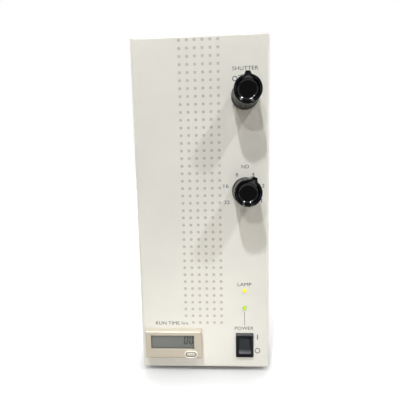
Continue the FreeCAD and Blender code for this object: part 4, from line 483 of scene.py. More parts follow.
def finish_rows():
    """Maker and values of each finish: those of the record first, then the scene's own inks and plastics."""
    printing = bpy.context.scene.illuminator_print
    ivory = {"colour": linear(232, 230, 220)}
    cream = {"grain": 2200.0, "relief": 0.000008, "dust": 0.0}
    return {
        "panel_paint": (skin, dict(
            colour=linear(239, 237, 229), rough=0.42, wear=0.1, dust=0.03, Specular_IOR_Level=0.35)),
        "case_paint": (skin, dict(ivory, rough=0.46, grain=1500.0, relief=0.00004)),
        "bare_steel": (metal, dict(colour=linear(188, 188, 186), rough=0.34, across=(1.0, 0.05, 1.0))),
        "bright_steel": (metal, dict(colour=linear(205, 205, 206), rough=0.22, across=EVERY_WAY, lines=1400.0)),
        "bare_aluminium": (metal, dict(
            colour=linear(206, 207, 208), rough=0.38, across=(1.0, 1.0, 0.05), lines=700.0)),
        "black_anodised": (metal, dict(colour=linear(46, 46, 49), rough=0.42, metallic=0.6, wear=0.7)),
        "brass": (metal, dict(colour=linear(206, 172, 102), rough=0.28, across=EVERY_WAY, lines=1400.0)),
        "mirror_coat": (metal, dict(colour=linear(226, 224, 230), rough=0.06, relief=0.000001, wear=0.1)),
        "knob_black": (skin, dict(
            colour=linear(6, 6, 9), rough=0.1, relief=0.000001, radius=0.0002, wear=0.1, dust=0.0,
            Specular_IOR_Level=0.12)),
        "knob_gloss": (skin, dict(
            colour=linear(2, 2, 5), rough=0.11, relief=0.0000002, radius=0.00005, wear=0.0, dust=0.0,
            Specular_IOR_Level=0.44)),
        # Ribbed side: its base colour, lighter than the face's black, is painted sheen of the ribs; its higher
        # roughness is real.
        "knob_side": (skin, dict(
            colour=linear(24, 24, 26), rough=0.32, relief=0.000004, radius=0.00015, dust=0.03,
            Specular_IOR_Level=0.5)),
        # Lighter grey of the rim's flat behind the pointer: painted sheen on the knob's black.
        "knob_facet": (skin, dict(
            colour=linear(98, 98, 104), rough=0.4, relief=0.000006, radius=0.00015, dust=0.02)),
        "switch_black": (skin, dict(
            colour=linear(7, 11, 20), rough=0.34, grain=2600.0, relief=0.00001, radius=0.0004, dust=0.02,
            Specular_IOR_Level=0.27)),
        "rocker_black": (skin, dict(
            colour=linear(9, 14, 23), rough=0.42, grain=2600.0, relief=0.000006, dust=0.02,
            Specular_IOR_Level=0.6)),
        "counter_beige": (skin, dict(
            colour=linear(202, 192, 175), rough=0.4, grain=2200.0, relief=0.000012, radius=0.0004, wear=0.1,
            dust=0.02)),
        "housing_grey": (skin, dict(colour=linear(150, 152, 152), rough=0.5, grain=1900.0)),
        "fan_black": (skin, dict(colour=linear(34, 34, 36), rough=0.48, grain=1900.0, dust=0.18)),
        "rubber": (skin, dict(
            colour=linear(30, 30, 31), rough=0.78, grain=1300.0, relief=0.00005, wear=0.1, dust=0.2)),
        "gear_white": (skin, dict(ivory, rough=0.38, grain=2400.0, relief=0.000008)),
        "ceramic_white": (skin, dict(colour=linear(232, 228, 214), rough=0.6, grain=1600.0)),
        "blade_black": (skin, dict(
            colour=linear(24, 24, 25), rough=0.6, grain=1500.0, wear=0.6, worn=linear(90, 90, 90), Metallic=0.3)),
        "display_glass": (display_face, {}),
        "filter_glass": (filter_glass, {}),
        "clear_glass": (glass, dict(colour=linear(250, 250, 250))),
        "amber_lens": (lens, dict(
            node="lamp_led", glow=linear(255, 248, 30), rim=linear(214, 196, 0), strength=0.8)),
        "green_lens": (lens, dict(
            node="power_led", glow=linear(214, 240, 10), rim=linear(128, 176, 0), strength=0.7)),
        "circuit_green": (board, {}),
        "panel_dots": (print_and_painted_shade, dict(colour=(*printing.dot_tone, 1.0))),
        "panel_ink": (print_and_painted_shade, dict(colour=(*printing.ink_tone, 1.0))),
        "display_ink": (print_and_painted_shade, dict(colour=linear(38, 45, 45))),
        # Dark border inside the display: painted shade of its recess.
        "display_edge": (print_and_painted_shade, dict(colour=linear(84, 84, 78))),
        # Dark film in the button's gap: painted shade.
        "slot_brown": (print_and_painted_shade, dict(colour=linear(52, 47, 40))),
        "button_cream": (skin, dict(cream, colour=linear(206, 200, 184), rough=0.3)),
        "ring_cream": (skin, dict(cream, colour=linear(240, 234, 222), rough=0.28)),
    }


def material(name):
    """Finished material of that name, built once."""
    if name not in FINISHES:
        maker, values = finish_rows()[name]
        FINISHES[name] = maker(name, **values).material
    return FINISHES[name]


# ------------------------------------------------------------------ mesh helpers
def turn_angles(steps):
    """Evenly spaced angles of one full turn."""
    return [2.0 * math.pi * i / steps for i in range(steps)]


def quarter_angles(steps):
    """Evenly spaced angles of a quarter turn, both ends with it."""
    return [math.pi / 2.0 * i / steps for i in range(steps + 1)]


def lathe(shape, profile, centre, axis, steps, turn=0.0, radius_rule=None):
    """Profile of (distance along the axis, radius) points turned round an axis through a point."""
    axis = Vector(axis).normalized()
    side = axis.orthogonal().normalized() if abs(axis.y) < 0.9 else Vector((1.0, 0.0, 0.0))
    other = axis.cross(side)
    rings = []
    for along, radius in profile:
        if radius < 1e-9:
            rings.append([shape.verts.new(Vector(centre) + axis * along)])
            continue
        ring = []
        for angle in turn_angles(steps):
            reach = radius if radius_rule is None else radius_rule(along, radius, angle)
            way = side * math.cos(angle + turn) + other * math.sin(angle + turn)
            ring.append(shape.verts.new(Vector(centre) + axis * along + way * reach))
        rings.append(ring)
    for low, high in zip(rings, rings[1:]):
        join_rings(shape, low, high)


def join_rings(shape, low, high):
    """Faces between two rings of points, of which one may be a single point."""
    count = max(len(low), len(high))
    if count == 1:
        return
    for i in range(count):
        j = (i + 1) % count
        corners = [low[i % len(low)], low[j % len(low)], high[j % len(high)], high[i % len(high)]]
        corners = [c for n, c in enumerate(corners) if c not in corners[:n]]
        shape.faces.new(corners)


def join_loop(shape, rings):
    """Faces between rings of points that close into a loop."""
    for here, there in zip(rings, rings[1:] + rings[:1]):
        join_rings(shape, here, there)


def square(left, base, right, top):
    """Four corners, from the lower left one."""
    return [(left, base), (right, base), (right, top), (left, top)]


def extent(spots):
    """Least and greatest corner of a set of points."""
    return (Vector([pick(s[k] for s in spots) for k in range(3)]) for pick in (min, max))


def slab(shape, outline, start, end):
    """Closed outline of (x, z) points as a plate between two Y planes."""
    near = [shape.verts.new((x, start, z)) for x, z in outline]
    far = [shape.verts.new((x, end, z)) for x, z in outline]
    shape.faces.new(near)
    shape.faces.new(far[::-1])
    join_rings(shape, far, near)


def band(shape, centre, inner, outer, first, last, start, end, steps=48):
    """Part of a flat ring about (x, z), from one angle to another in degrees."""
    closed = abs(last - first) >= 360.0
    count = steps if closed else steps + 1
    angles = [math.radians(first + (last - first) * i / steps) for i in range(count)]
    rings = []
    for radius, y in ((inner, start), (outer, start), (outer, end), (inner, end)):
        spots = [(centre[0] + radius * math.cos(a), y, centre[1] + radius * math.sin(a)) for a in angles]
        rings.append([shape.verts.new(spot) for spot in spots])
    for k in range(4):
        here, there = rings[k], rings[(k + 1) % 4]
        for i in range(count if closed else count - 1):
            j = (i + 1) % count
            shape.faces.new((here[i], here[j], there[j], there[i]))
    if not closed:
        shape.faces.new([ring[0] for ring in rings])
        shape.faces.new([ring[-1] for ring in rings])


def link_mesh(name, mesh, finish, angle):
    """Object from a finished mesh, smooth except at real edges."""
    mesh.name = name
    mesh.shade_smooth()
    mesh.set_sharp_from_angle(angle=math.radians(angle))
    mesh.materials.clear()
    mesh.materials.append(material(finish))
    piece = bpy.data.objects.new(name, mesh)
    bpy.context.scene.collection.objects.link(piece)
    return piece


def closed_mesh(name, shape, near):
    """Mesh from a bmesh, with points nearer than a distance merged and its normals facing out."""
    bmesh.ops.remove_doubles(shape, verts=shape.verts, dist=near)
    bmesh.ops.recalc_face_normals(shape, faces=shape.faces)
    mesh = bpy.data.meshes.new(name)
    shape.to_mesh(mesh)
    shape.free()
    return mesh


def piece_from(name, shape, finish, angle=35.0):
    """Object from a bmesh, with its finish."""
    return link_mesh(name, closed_mesh(name, shape, 1e-7), finish, angle)


def settle(piece, body, slot, *stands_for):
    """Attach a piece to the body it moves with, and hide the nodes that it stands for; the slot is not used."""
    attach(piece, body)
    if stands_for:
        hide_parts(*stands_for)


def applied(piece):
    """Plain mesh of an object with its modifiers worked in."""
    bpy.context.view_layer.update()
    seen = piece.evaluated_get(bpy.context.evaluated_depsgraph_get())
    mesh = bpy.data.meshes.new_from_object(seen)
    piece.modifiers.clear()
    return mesh


def grown(name, seed_mesh, tree, values, finish, angle=35.0):
    """Object from a Geometry Nodes tree run on a seed mesh, its result taken as a plain mesh."""
    carrier = bpy.data.objects.new(name + "_seed", seed_mesh)
    bpy.context.scene.collection.objects.link(carrier)
    modifier = carrier.modifiers.new("grow", "NODES")
    modifier.node_group = tree
    sockets = {item.name: item.identifier for item in tree.interface.items_tree if item.item_type == "SOCKET"}
    for label, value in values.items():
        modifier[sockets[label]] = value
    mesh = applied(carrier)
    bpy.data.objects.remove(carrier)
    return link_mesh(name, mesh, finish, angle)


def growth(name, inputs):
    """New Geometry Nodes tree with named inputs; returns its tree, its input node and its output node."""
    tree = bpy.data.node_groups.new(name, "GeometryNodeTree")
    tree.interface.new_socket(name="Geometry", in_out="INPUT", socket_type="NodeSocketGeometry")
    for label, (kind, default) in inputs.items():
        socket = tree.interface.new_socket(name=label, in_out="INPUT", socket_type="NodeSocket" + kind)
        if default is not None:
            socket.default_value = default
    tree.interface.new_socket(name="Geometry", in_out="OUTPUT", socket_type="NodeSocketGeometry")
    work = Tree(tree)
    return work, work.add("NodeGroupInput"), work.add("NodeGroupOutput")


def end_growth(work, out, geometry, finish):
    """Realize Instances and Set Material at a tree's end; the finish is a socket or a material."""
    real = work.add("GeometryNodeRealizeInstances", {0: geometry}).outputs[0]
    coloured = work.add("GeometryNodeSetMaterial", {"Geometry": real, "Material": finish}).outputs[0]
    work.feed(out.inputs[0], coloured)


# ------------------------------------------------------------------ stage
WHITE = (1.0, 1.0, 1.0, 1.0)
BLACK = (0.0, 0.0, 0.0, 1.0)
WARM_SKY = (1.0, 0.85, 0.7, 1.0)
FLOOR_GREY = (0.42, 0.42, 0.42, 1.0)
FLOOR_BOUNCE = (0.425, 0.4, 0.36, 1.0)
COOL = (0.96, 0.985, 1.0)
# Strength, in reflections, of what lies straight in front of the object.
DIMMEST = 0.15
# How far from the object its shade on the floor reaches.
SHADE_REACH = 0.05
SHUTTER_SIDE = (0.03, FACE_Y, 0.18)
MIDDLE_HEIGHT = 0.15
FROM_LOW, FROM_HIGH, FROM_RIGHT = (-7.2, -24.0, 17.6), (-7.2, -24.0, 42.5), (33.0, -24.0, 50.0)
# Name, the point it looks at, the direction it stands in, distance, size, watts, and what else add_light takes.
LAMPS = (
    ("lamp_low", SHUTTER_SIDE, FROM_LOW, 3.0, 0.14, 15.2, {"tint": COOL}),
    ("lamp_high", SHUTTER_SIDE, FROM_HIGH, 3.0, 0.14, 49.0, {"tint": COOL}),
    ("lamp_right", SHUTTER_SIDE, FROM_RIGHT, 3.0, 0.14, 31.0, {"tint": COOL}),
    ("card_gleam", SHUTTER_SIDE, FROM_HIGH, 2.9, 0.45, 55.0, {"matt": False}),
    ("card_gleam_right", SHUTTER_SIDE, FROM_RIGHT, 2.9, 0.45, 45.0, {"matt": False}),
    ("card_low", (0.0, FACE_Y, 0.02), (0.0, -1.0, -0.08), 0.09, 0.11, 0.04, {"mirrored": False}),
    ("card_left", (-0.055, 0.0, MIDDLE_HEIGHT), (-1.0, -0.06, 0.16), 1.6, 1.0, 7.0, {}),
    ("card_right", (0.055, 0.0, MIDDLE_HEIGHT), (1.0, -0.06, 0.16), 1.6, 1.0, 9.0, {}),
    ("card_back", (0.0, REAR_Y, MIDDLE_HEIGHT), (-0.5, 1.0, 0.24), 1.8, 0.9, 15.0, {}),
)


def make_world(ambient):
    """White to the camera and in reflections, dimmer in front of the object, and a plain light to all else."""
    world = bpy.data.worlds.new("surround")
    bpy.context.scene.world = world
    world.use_nodes = True
    work = Tree(world.node_tree)
    work.tree.nodes.clear()
    rays = work.add("ShaderNodeLightPath").outputs
    seen = work.math("MAXIMUM", rays["Is Camera Ray"], rays["Is Glossy Ray"])
    seen = work.math("MAXIMUM", seen, rays["Is Transmission Ray"])
    way = work.add("ShaderNodeSeparateXYZ", {0: work.add("ShaderNodeTexCoord").outputs["Generated"]})
    front = work.span(way.outputs["Y"], -0.9, -0.3, DIMMEST, 1.0)
    level = work.math("MAXIMUM", rays["Is Camera Ray"], front)
    soft = work.add("ShaderNodeBackground", {"Color": WARM_SKY, "Strength": ambient})
    white = work.add("ShaderNodeBackground", {"Color": WHITE, "Strength": level})
    both = work.add("ShaderNodeMixShader", {0: seen, 1: soft.outputs[0], 2: white.outputs[0]})
    work.add("ShaderNodeOutputWorld", {"Surface": both.outputs[0]})


def floor_finish():
    """White floor that keeps a soft shade where the object stands over it or beside it."""
    finish = bpy.data.materials.new("floor_white")
    finish.use_nodes = True
    work = Tree(finish.node_tree)
    work.tree.nodes.clear()
    rays = work.add("ShaderNodeLightPath").outputs
    place = work.add("ShaderNodeSeparateXYZ", {0: work.place()}).outputs
    mirrored = work.math("MULTIPLY", rays["Is Glossy Ray"], work.span(place["Y"], -0.9, -0.35, DIMMEST, 1.0))
    seen = work.math("MAXIMUM", rays["Is Camera Ray"], mirrored)
    seen = work.math("MAXIMUM", seen, rays["Is Transmission Ray"])
    pale = work.mix(rays["Is Camera Ray"], FLOOR_BOUNCE, FLOOR_GREY)
    pale = work.mix(rays["Is Glossy Ray"], pale, BLACK)
    matt = work.add("ShaderNodeBsdfDiffuse", {"Color": pale})
    sky = work.add("ShaderNodeAmbientOcclusion", {"Distance": SHADE_REACH}, samples=12).outputs["AO"]
    aside = work.span(work.math("ABSOLUTE", place["X"]), 0.05, 0.065, 1.0, 0.45)
    sky = work.math("SUBTRACT", 1.0, work.math("MULTIPLY", work.math("SUBTRACT", 1.0, sky), aside))
    under = work.span(sky, 0.12, 0.42, 0.02, 0.33)
    beside = work.math("MULTIPLY", work.math("POWER", work.span(sky, 0.3, 1.0), 3.2), 0.67)
    level = work.math("MULTIPLY", seen, work.math("ADD", under, beside))
    glow = work.add("ShaderNodeEmission", {"Color": WHITE, "Strength": level})
    both = work.add("ShaderNodeAddShader", {0: matt.outputs[0], 1: glow.outputs[0]})
    work.add("ShaderNodeOutputMaterial", {"Surface": both.outputs[0]})
    return finish


def add_light(name, target, way, distance, size, power, mirrored=True, matt=True, tint=(1.0, 1.0, 1.0)):
    """Square lamp that looks at a point from a direction; it may be left out of reflections or of matt light."""
    lamp = bpy.data.lights.new(name, "AREA")
    lamp.size = size
    lamp.energy = power
    lamp.color = tint
    holder = bpy.data.objects.new(name, lamp)
    way = Vector(way).normalized()
    holder.location = Vector(target) + way * distance
    holder.rotation_euler = way.to_track_quat("Z", "Y").to_euler()
    holder.visible_camera = False
    holder.visible_glossy = mirrored
    holder.visible_diffuse = matt
    bpy.context.scene.collection.objects.link(holder)


class ILLUMINATOR_OT_stage(bpy.types.Operator):
    """Floor, surround, lamps and camera"""
    bl_idname = "illuminator.stage"
    bl_label = "Stage"

    def execute(self, context):
        sizes = context.scene.illuminator_stage
        context.scene.view_settings.view_transform = "Standard"
        make_world(sizes.ambient)
        half = sizes.floor_size / 2.0
        shape = bmesh.new()
        shape.faces.new([shape.verts.new((x, y, 0.0)) for x, y in square(-half, -half, half, half)])
        mesh = bpy.data.meshes.new("floor")
        shape.to_mesh(mesh)
        shape.free()
        mesh.materials.append(floor_finish())
        floor = bpy.data.objects.new("floor", mesh)
        context.scene.collection.objects.link(floor)
        for *plain, extra in LAMPS:
            add_light(*plain, **extra)
        optics = bpy.data.cameras.new("camera")
        optics.sensor_width = 36.0
        optics.lens = sizes.lens
        optics.clip_start = 0.01
        camera = bpy.data.objects.new("camera", optics)
        camera.location = sizes.camera_place
        camera.rotation_euler = sizes.camera_turn
        context.scene.collection.objects.link(camera)
        context.scene.camera = camera
        return {"FINISHED"}


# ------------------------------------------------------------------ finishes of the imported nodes
class ILLUMINATOR_OT_finishes(bpy.types.Operator):
    """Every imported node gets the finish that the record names"""
    bl_idname = "illuminator.finishes"
    bl_label = "Finishes"

    def execute(self, context):
        own = {"power_rocker": "rocker_black", "counter_reset_button": "button_cream"}
        for row in frame["record"]["subparts"]:
            node = frame["nodes"][row["node"]]
            finish = own.get(row["node"], row["material_slot"])
            node.data.materials.clear()
            node.data.materials.append(material(finish))
        return {"FINISHED"}


# ------------------------------------------------------------------ printing
def dot_tree():
    """Grid of thin round dots on the panel, with one dot left out."""
    inputs = {
        "Columns": ("Int", 6), "Rows": ("Int", 39), "Pitch": ("Float", 0.0061), "Dot Radius": ("Float", 0.00125),
        "Thickness": ("Float", 0.00003), "Middle": ("Vector", (0.0, 0.0, 0.0)), "Left Out": ("Int", 0),
    }
    work, given, out = growth("Panel Dots", inputs)
    give = given.outputs
    across = work.math("MULTIPLY", work.math("SUBTRACT", give["Columns"], 1.0), give["Pitch"])
    down = work.math("MULTIPLY", work.math("SUBTRACT", give["Rows"], 1.0), give["Pitch"])
    grid = work.add("GeometryNodeMeshGrid", {0: across, 1: down, 2: give["Columns"], 3: give["Rows"]}).outputs[0]
    order = work.add("GeometryNodeInputIndex").outputs[0]
    match = work.add("FunctionNodeCompare", {2: order, 3: give["Left Out"]}, data_type="INT", operation="EQUAL")
    kept = work.add("GeometryNodeDeleteGeometry", {0: grid, 1: match.outputs[0]}, domain="POINT").outputs[0]
    inputs = {"Vertices": 24, "Radius": give["Dot Radius"], "Depth": give["Thickness"]}
    dot = work.add("GeometryNodeMeshCylinder", inputs).outputs[0]
    dots = work.add("GeometryNodeInstanceOnPoints", {"Points": kept, "Instance": dot}).outputs[0]
    inputs = {"Geometry": dots, "Translation": give["Middle"], "Rotation": (math.pi / 2.0, 0.0, 0.0)}
    placed = work.add("GeometryNodeTransform", inputs).outputs[0]
    end_growth(work, out, placed, material("panel_dots"))
    return work.tree


def letters(shape, words, centre, width, height, proud):
    """Raised lettering on the panel, fitted to a width and height; centre is (x, z above the panel's bottom)."""
    curve = bpy.data.curves.new("words", "FONT")
    curve.body = words
    curve.extrude = 0.5
    curve.resolution_u = 4
    carrier = bpy.data.objects.new("words", curve)
    bpy.context.scene.collection.objects.link(carrier)
    mesh = applied(carrier)
    low, high = extent([v.co for v in mesh.vertices])
    size = high - low
    for vertex in mesh.vertices:
        share = [(vertex.co[k] - low[k]) / size[k] - 0.5 for k in range(3)]
        x = centre[0] + share[0] * width
        z = PANEL_LOW.z + centre[1] + share[1] * height
        vertex.co = (x, FACE_Y - share[2] * 2.0 * proud, z)
    shape.from_mesh(mesh)
    bpy.data.meshes.remove(mesh)
    bpy.data.objects.remove(carrier)


# Millimetres on the panel: X from its middle, height over its bottom edge.
# Words, their middle, width and height.
WORDS = (
    ("SHUTTER", (35.65, 250.3), 20.3, 2.9), ("ND", (35.25, 173.9), 5.9, 2.9), ("LAMP", (34.25, 75.0), 11.7, 2.9),
    ("POWER", (33.8, 36.0), 16.0, 2.9), ("I", (45.1, 27.9), 0.75, 4.4), ("RUN TIME hrs", (-28.4, 40.4), 28.0, 2.9),
    ("8", (28.5, 167.5), 1.9, 2.9), ("4", (41.6, 167.5), 2.1, 2.9), ("16", (19.7, 158.4), 4.1, 2.9),
    ("2", (49.8, 158.2), 1.9, 2.9), ("32", (20.3, 145.1), 4.3, 2.9), ("1", (48.4, 145.8), 0.62, 2.9),
)
# Rings: middle and outer radius. Line between indicator and switch: left, base, right, top.
RINGS = ((27.5, 242.6, 2.05), (45.1, 15.5, 2.4))
RING_LINE = 0.65
LEAD = (34.05, 38.7, 34.45, 50.9)
# Round the shutter knob: the arc's inner and outer radius and its two angles; the dot's place and radius.
ARC = (15.9, 16.4, 86.0, 109.0)
ARC_DOT = (1.1, 16.1, 1.4)


class ILLUMINATOR_OT_printing(bpy.types.Operator):
    """Dots, words, numbers, rings and lines printed on the front panel"""
    bl_idname = "illuminator.printing"
    bl_label = "Panel Printing"

    def execute(self, context):
        sizes = context.scene.illuminator_print
        half_w = (sizes.columns - 1) * sizes.pitch / 2.0
        half_h = (sizes.rows - 1) * sizes.pitch / 2.0
        centre = (sizes.left + half_w, FACE_Y, PANEL_LOW.z + sizes.top - half_h)
        values = {
            "Columns": sizes.columns, "Rows": sizes.rows, "Pitch": sizes.pitch, "Dot Radius": sizes.dot / 2.0,
            "Thickness": sizes.proud * 2.0, "Middle": centre,
        }
        dots = grown("panel_dots", bpy.data.meshes.new("seed"), dot_tree(), values, "panel_dots")
        settle(dots, "root", "housing_grey")
        shape = bmesh.new()
        for words, spot, width, height in WORDS:
            letters(shape, words, (spot[0] * MM, spot[1] * MM), width * MM, height * MM, sizes.proud)
        settle(piece_from("panel_words", shape, "panel_ink"), "root", "housing_grey")
        settle(self.marks(sizes), "root", "housing_grey")
        return {"FINISHED"}

    def marks(self, sizes):
        """Rings, the shutter's arc and dot, and the line between indicator and switch."""
        shape = bmesh.new()
        base = PANEL_LOW.z
        span = (FACE_Y + sizes.proud, FACE_Y - sizes.proud)
        for x, z, outer in RINGS:
            band(shape, (x * MM, base + z * MM), (outer - RING_LINE) * MM, outer * MM, 0.0, 360.0, *span)
        inner, outer, first, last = ARC
        band(shape, (SHUTTER_AXIS.x, SHUTTER_AXIS.z), inner * MM, outer * MM, first, last, *span, steps=20)
        x, z, radius = SHUTTER_AXIS.x + ARC_DOT[0] * MM, SHUTTER_AXIS.z + ARC_DOT[1] * MM, ARC_DOT[2] * MM
        slab(shape, [(x + radius * math.cos(a), z + radius * math.sin(a)) for a in turn_angles(32)], *span)
        left, low, right, high = [value * MM for value in LEAD]
        slab(shape, square(left, base + low, right, base + high), *span)
        return piece_from("panel_marks", shape, "panel_ink")


# ------------------------------------------------------------------ knobs
def knob_side(sizes, centre, turn):
    """Ribbed side, skirt and rounded rim of one knob."""
    seat, under = sizes.reach - sizes.rim_drop, sizes.reach - sizes.rim_drop - sizes.recess
    first, last = sizes.skirt + sizes.rib_start, sizes.reach - sizes.rim
    lift, roof, hollow = 0.6 * MM, 4.2 * MM, 7.7 * MM
    soft, bulge, fade, crest = 0.25 * MM, 0.07 * MM, 0.5 * MM, 0.9 * MM
    skirt, edge = sizes.skirt, sizes.skirt_radius
    profile = [
        (sizes.bore_end, 0.0), (sizes.bore_end, sizes.bore), (roof, sizes.bore), (roof, hollow), (lift, hollow),
        (lift, edge - soft), (lift + 0.08 * MM, edge - bulge), (lift + soft, edge),
        (skirt - soft, edge), (skirt - bulge, edge - bulge), (skirt, edge - soft),
        (skirt + fade, sizes.radius), (first, sizes.radius), (first + fade, sizes.radius),
    ]
    profile += [(first + fade + (last - first - 2.0 * fade) * i / 8.0, sizes.radius) for i in range(1, 9)]
    profile.append((last, sizes.radius))
    for angle in quarter_angles(8):
        out = sizes.crown + (sizes.radius - sizes.crown) * math.cos(angle)
        profile.append((sizes.reach - crest * (1.0 - math.sin(angle)), out))
    profile.append((sizes.reach - 0.12 * MM, sizes.crown - soft))
    profile += [(seat, sizes.rim_inner), (under, sizes.rim_inner), (under, 0.0)]

    def ribbed(along, radius, angle):
        if not first < along < last or radius < sizes.radius - 1e-6:
            return radius
        wave = 0.5 - 0.5 * math.cos(angle * sizes.ribs)
        return radius - sizes.rib_depth * wave ** 0.8

    shape = bmesh.new()
    lathe(shape, profile, (centre.x, FACE_Y, centre.z), OUTWARD, sizes.ribs * 6, turn, ribbed)
    return shape


def on_axis(shape, centre, turn):
    """Shape turned about the panel's normal and moved to a knob's axis on the panel's face."""
    place = Matrix.Translation((centre.x, FACE_Y, centre.z)) @ Matrix.Rotation(turn, 4, "Y")
    bmesh.ops.transform(shape, matrix=place, verts=shape.verts)
    return shape


def pointer_wedge(sizes, centre, turn):
    """Wedge that grows out of the rim and runs down the knob's side, with softened edges."""
    front = sizes.reach - 0.56 * MM
    # Each station: distance from the axis, half width, top and foot over the panel.
    stations = (
        (9.4 * MM, 3.5 * MM, front - 0.2 * MM, 4.4 * MM),
        (sizes.radius, 2.6 * MM, front - 0.45 * MM, 5.6 * MM),
        (sizes.pointer_tip, 1.6 * MM, front - 1.1 * MM, front - 9.0 * MM),
    )
    shape = bmesh.new()
    rings = []
    for up, half, top, low in stations:
        rings.append([shape.verts.new((x, -stand, up)) for x, stand in square(-half, low, half, top)])
    for low, high in zip(rings, rings[1:]):
        join_rings(shape, low, high)
    shape.faces.new(rings[0])
    shape.faces.new(rings[-1])
    bmesh.ops.recalc_face_normals(shape, faces=shape.faces)
    bmesh.ops.bevel(shape, geom=shape.edges[:], offset=0.28 * MM, segments=3, profile=0.6, affect="EDGES")
    return on_axis(shape, centre, turn)


def rim_facet(sizes, centre, turn):
    """Flat on the inner side of the rim, behind the pointer."""
    low_r, high_r = sizes.rim_inner + 0.02 * MM, sizes.crown - 0.3 * MM
    low_s, high_s = sizes.reach - sizes.rim_drop + 0.16 * MM, sizes.reach - 0.04 * MM
    half_turn, half_steps = math.radians(36.0), 12
    shape = bmesh.new()
    rings = [[], [], []]
    for i in range(2 * half_steps + 1):
        along = i / half_steps - 1.0
        angle, share = half_turn * along, (1.0 - abs(along)) ** 1.4
        out = (high_r - low_r) * share
        spots = (low_r, low_s), (low_r + out, low_s + (high_s - low_s) * share), (low_r + out / 2.0, low_s - 0.5 * MM)
        for ring, (radius, stand) in zip(rings, spots):
            ring.append(shape.verts.new((radius * math.sin(angle), -stand, radius * math.cos(angle))))
    for k in range(3):
        here, there = rings[k], rings[(k + 1) % 3]
        for i in range(2 * half_steps):
            shape.faces.new((here[i], here[i + 1], there[i + 1], there[i]))
    shape.faces.new([ring[0] for ring in rings])
    shape.faces.new([ring[-1] for ring in rings])
    return on_axis(shape, centre, turn)


def dished_cap(sizes, centre):
    """Cap inside the rim: a nearly flat middle with a hollow curve round its edge."""
    radius = sizes.rim_inner - 0.03 * MM
    edge = sizes.reach - sizes.rim_drop - 0.05 * MM
    back = edge - sizes.recess + 0.1 * MM
    profile = [(back, 0.0), (back, radius)]
    for angle in quarter_angles(12):
        profile.append((edge - sizes.dish * math.sin(angle), radius - sizes.fillet * (1.0 - math.cos(angle))))
    flat, sag = radius - sizes.fillet, 0.15 * MM
    for i in range(1, 9):
        share = 1.0 - i / 8.0
        profile.append((edge - sizes.dish - sag * (1.0 - share ** 2), flat * share))
    shape = bmesh.new()
    lathe(shape, profile, (centre.x, FACE_Y, centre.z), OUTWARD, 120)
    return shape


class ILLUMINATOR_OT_knobs(bpy.types.Operator):
    """Ribbed shutter and filter knobs with their pointers and dished caps"""
    bl_idname = "illuminator.knobs"
    bl_label = "Knobs"

    def execute(self, context):
        sizes = context.scene.illuminator_knobs
        rows = (("shutter", "shutter", SHUTTER_AXIS, 0.0), ("nd", "nd_selector", ND_AXIS, math.radians(25.0)))
        for label, body, centre, turn in rows:
            # The ribbed side takes the lighter finish, which is painted sheen; its front rim keeps the plain black.
            knob = piece_from(label + "_knob_ribbed", knob_side(sizes, centre, turn), "knob_side", 50.0)
            knob.data.materials.append(material("knob_black"))
            for face in knob.data.polygons:
                if FACE_Y - face.center.y > sizes.reach - sizes.rim:
                    face.material_index = 1
            settle(knob, body, "knob_black", label + "_knob")
            # The rim's flat takes a lighter grey: painted sheen.
            facet = piece_from(label + "_knob_facet", rim_facet(sizes, centre, turn), "knob_facet", 40.0)
            settle(facet, body, "knob_black")
            wedge = piece_from(label + "_knob_pointer", pointer_wedge(sizes, centre, turn), "knob_black", 40.0)
            settle(wedge, body, "knob_black")
            cap = piece_from(label + "_knob_dish", dished_cap(sizes, centre), "knob_gloss", 50.0)
            settle(cap, body, "knob_black", label + "_knob_cap")
        return {"FINISHED"}


# ------------------------------------------------------------------ power switch
# Rocker seen from its side: depth before the pivot (negative) or behind it, and height over the pivot, mm.
ROCKER_OUTLINE = (
    (-4.8, -7.25), (-4.9, -7.1), (-4.88, -6.9), (-4.66, -6.5), (-4.32, -5.9), (-4.0, -5.3), (-3.73, -4.7),
    (-3.5, -4.1), (-3.33, -3.5), (-3.22, -2.9), (-3.15, -2.0), (-3.13, 0.0), (-3.17, 3.2), (-3.3, 5.0),
    (-3.55, 5.6), (-3.95, 5.95), (-4.22, 6.1), (-4.3, 6.3), (-4.2, 6.6), (-3.95, 6.95), (-3.6, 7.2),
    (0.4, 6.8), (1.9, 6.2), (3.4, 4.4), (4.3, 2.2), (4.6, 0.0), (4.3, -2.2), (3.4, -4.4), (1.9, -6.2), (0.4, -6.8),
)


def rocker_face(sizes):
    """Rocker with a hollow face, a raised lower end and softened edges, tilted to its on position."""
    low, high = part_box("power_rocker")
    housing_low, housing_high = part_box("power_switch_housing")
    axis = Vector(((low.x + high.x) / 2.0, FACE_Y + sizes.axis_back, (housing_low.z + housing_high.z) / 2.0))
    half = (high.x - low.x) / 2.0 - sizes.pin
    soft, radius = sizes.side_softening, 6.0 * MM
    shape = bmesh.new()
    rings = []
    for x, shrink in ((-half, 1.0), (-half + 0.3 * soft, 0.35), (-half + soft, 0.0),
                      (half - soft, 0.0), (half - 0.3 * soft, 0.35), (half, 1.0)):
        scale = 1.0 - shrink * soft / radius
        rings.append([shape.verts.new((x, y * MM * scale, z * MM * scale)) for y, z in ROCKER_OUTLINE])
    for here, there in zip(rings, rings[1:]):
        join_rings(shape, here, there)
    shape.faces.new(rings[0])
    shape.faces.new(rings[-1][::-1])
    place = Matrix.Translation(axis) @ Matrix.Rotation(-sizes.tilt, 4, "X")
    bmesh.ops.transform(shape, matrix=place, verts=shape.verts)
    return shape


class ILLUMINATOR_OT_switch(bpy.types.Operator):
    """Rocker of the power switch"""
    bl_idname = "illuminator.switch"
    bl_label = "Power Switch"

    def execute(self, context):
        sizes = context.scene.illuminator_switch
        rocker = piece_from("power_rocker_face", rocker_face(sizes), "rocker_black", 40.0)
        settle(rocker, "rocker", "switch_black", "power_rocker")
        return {"FINISHED"}


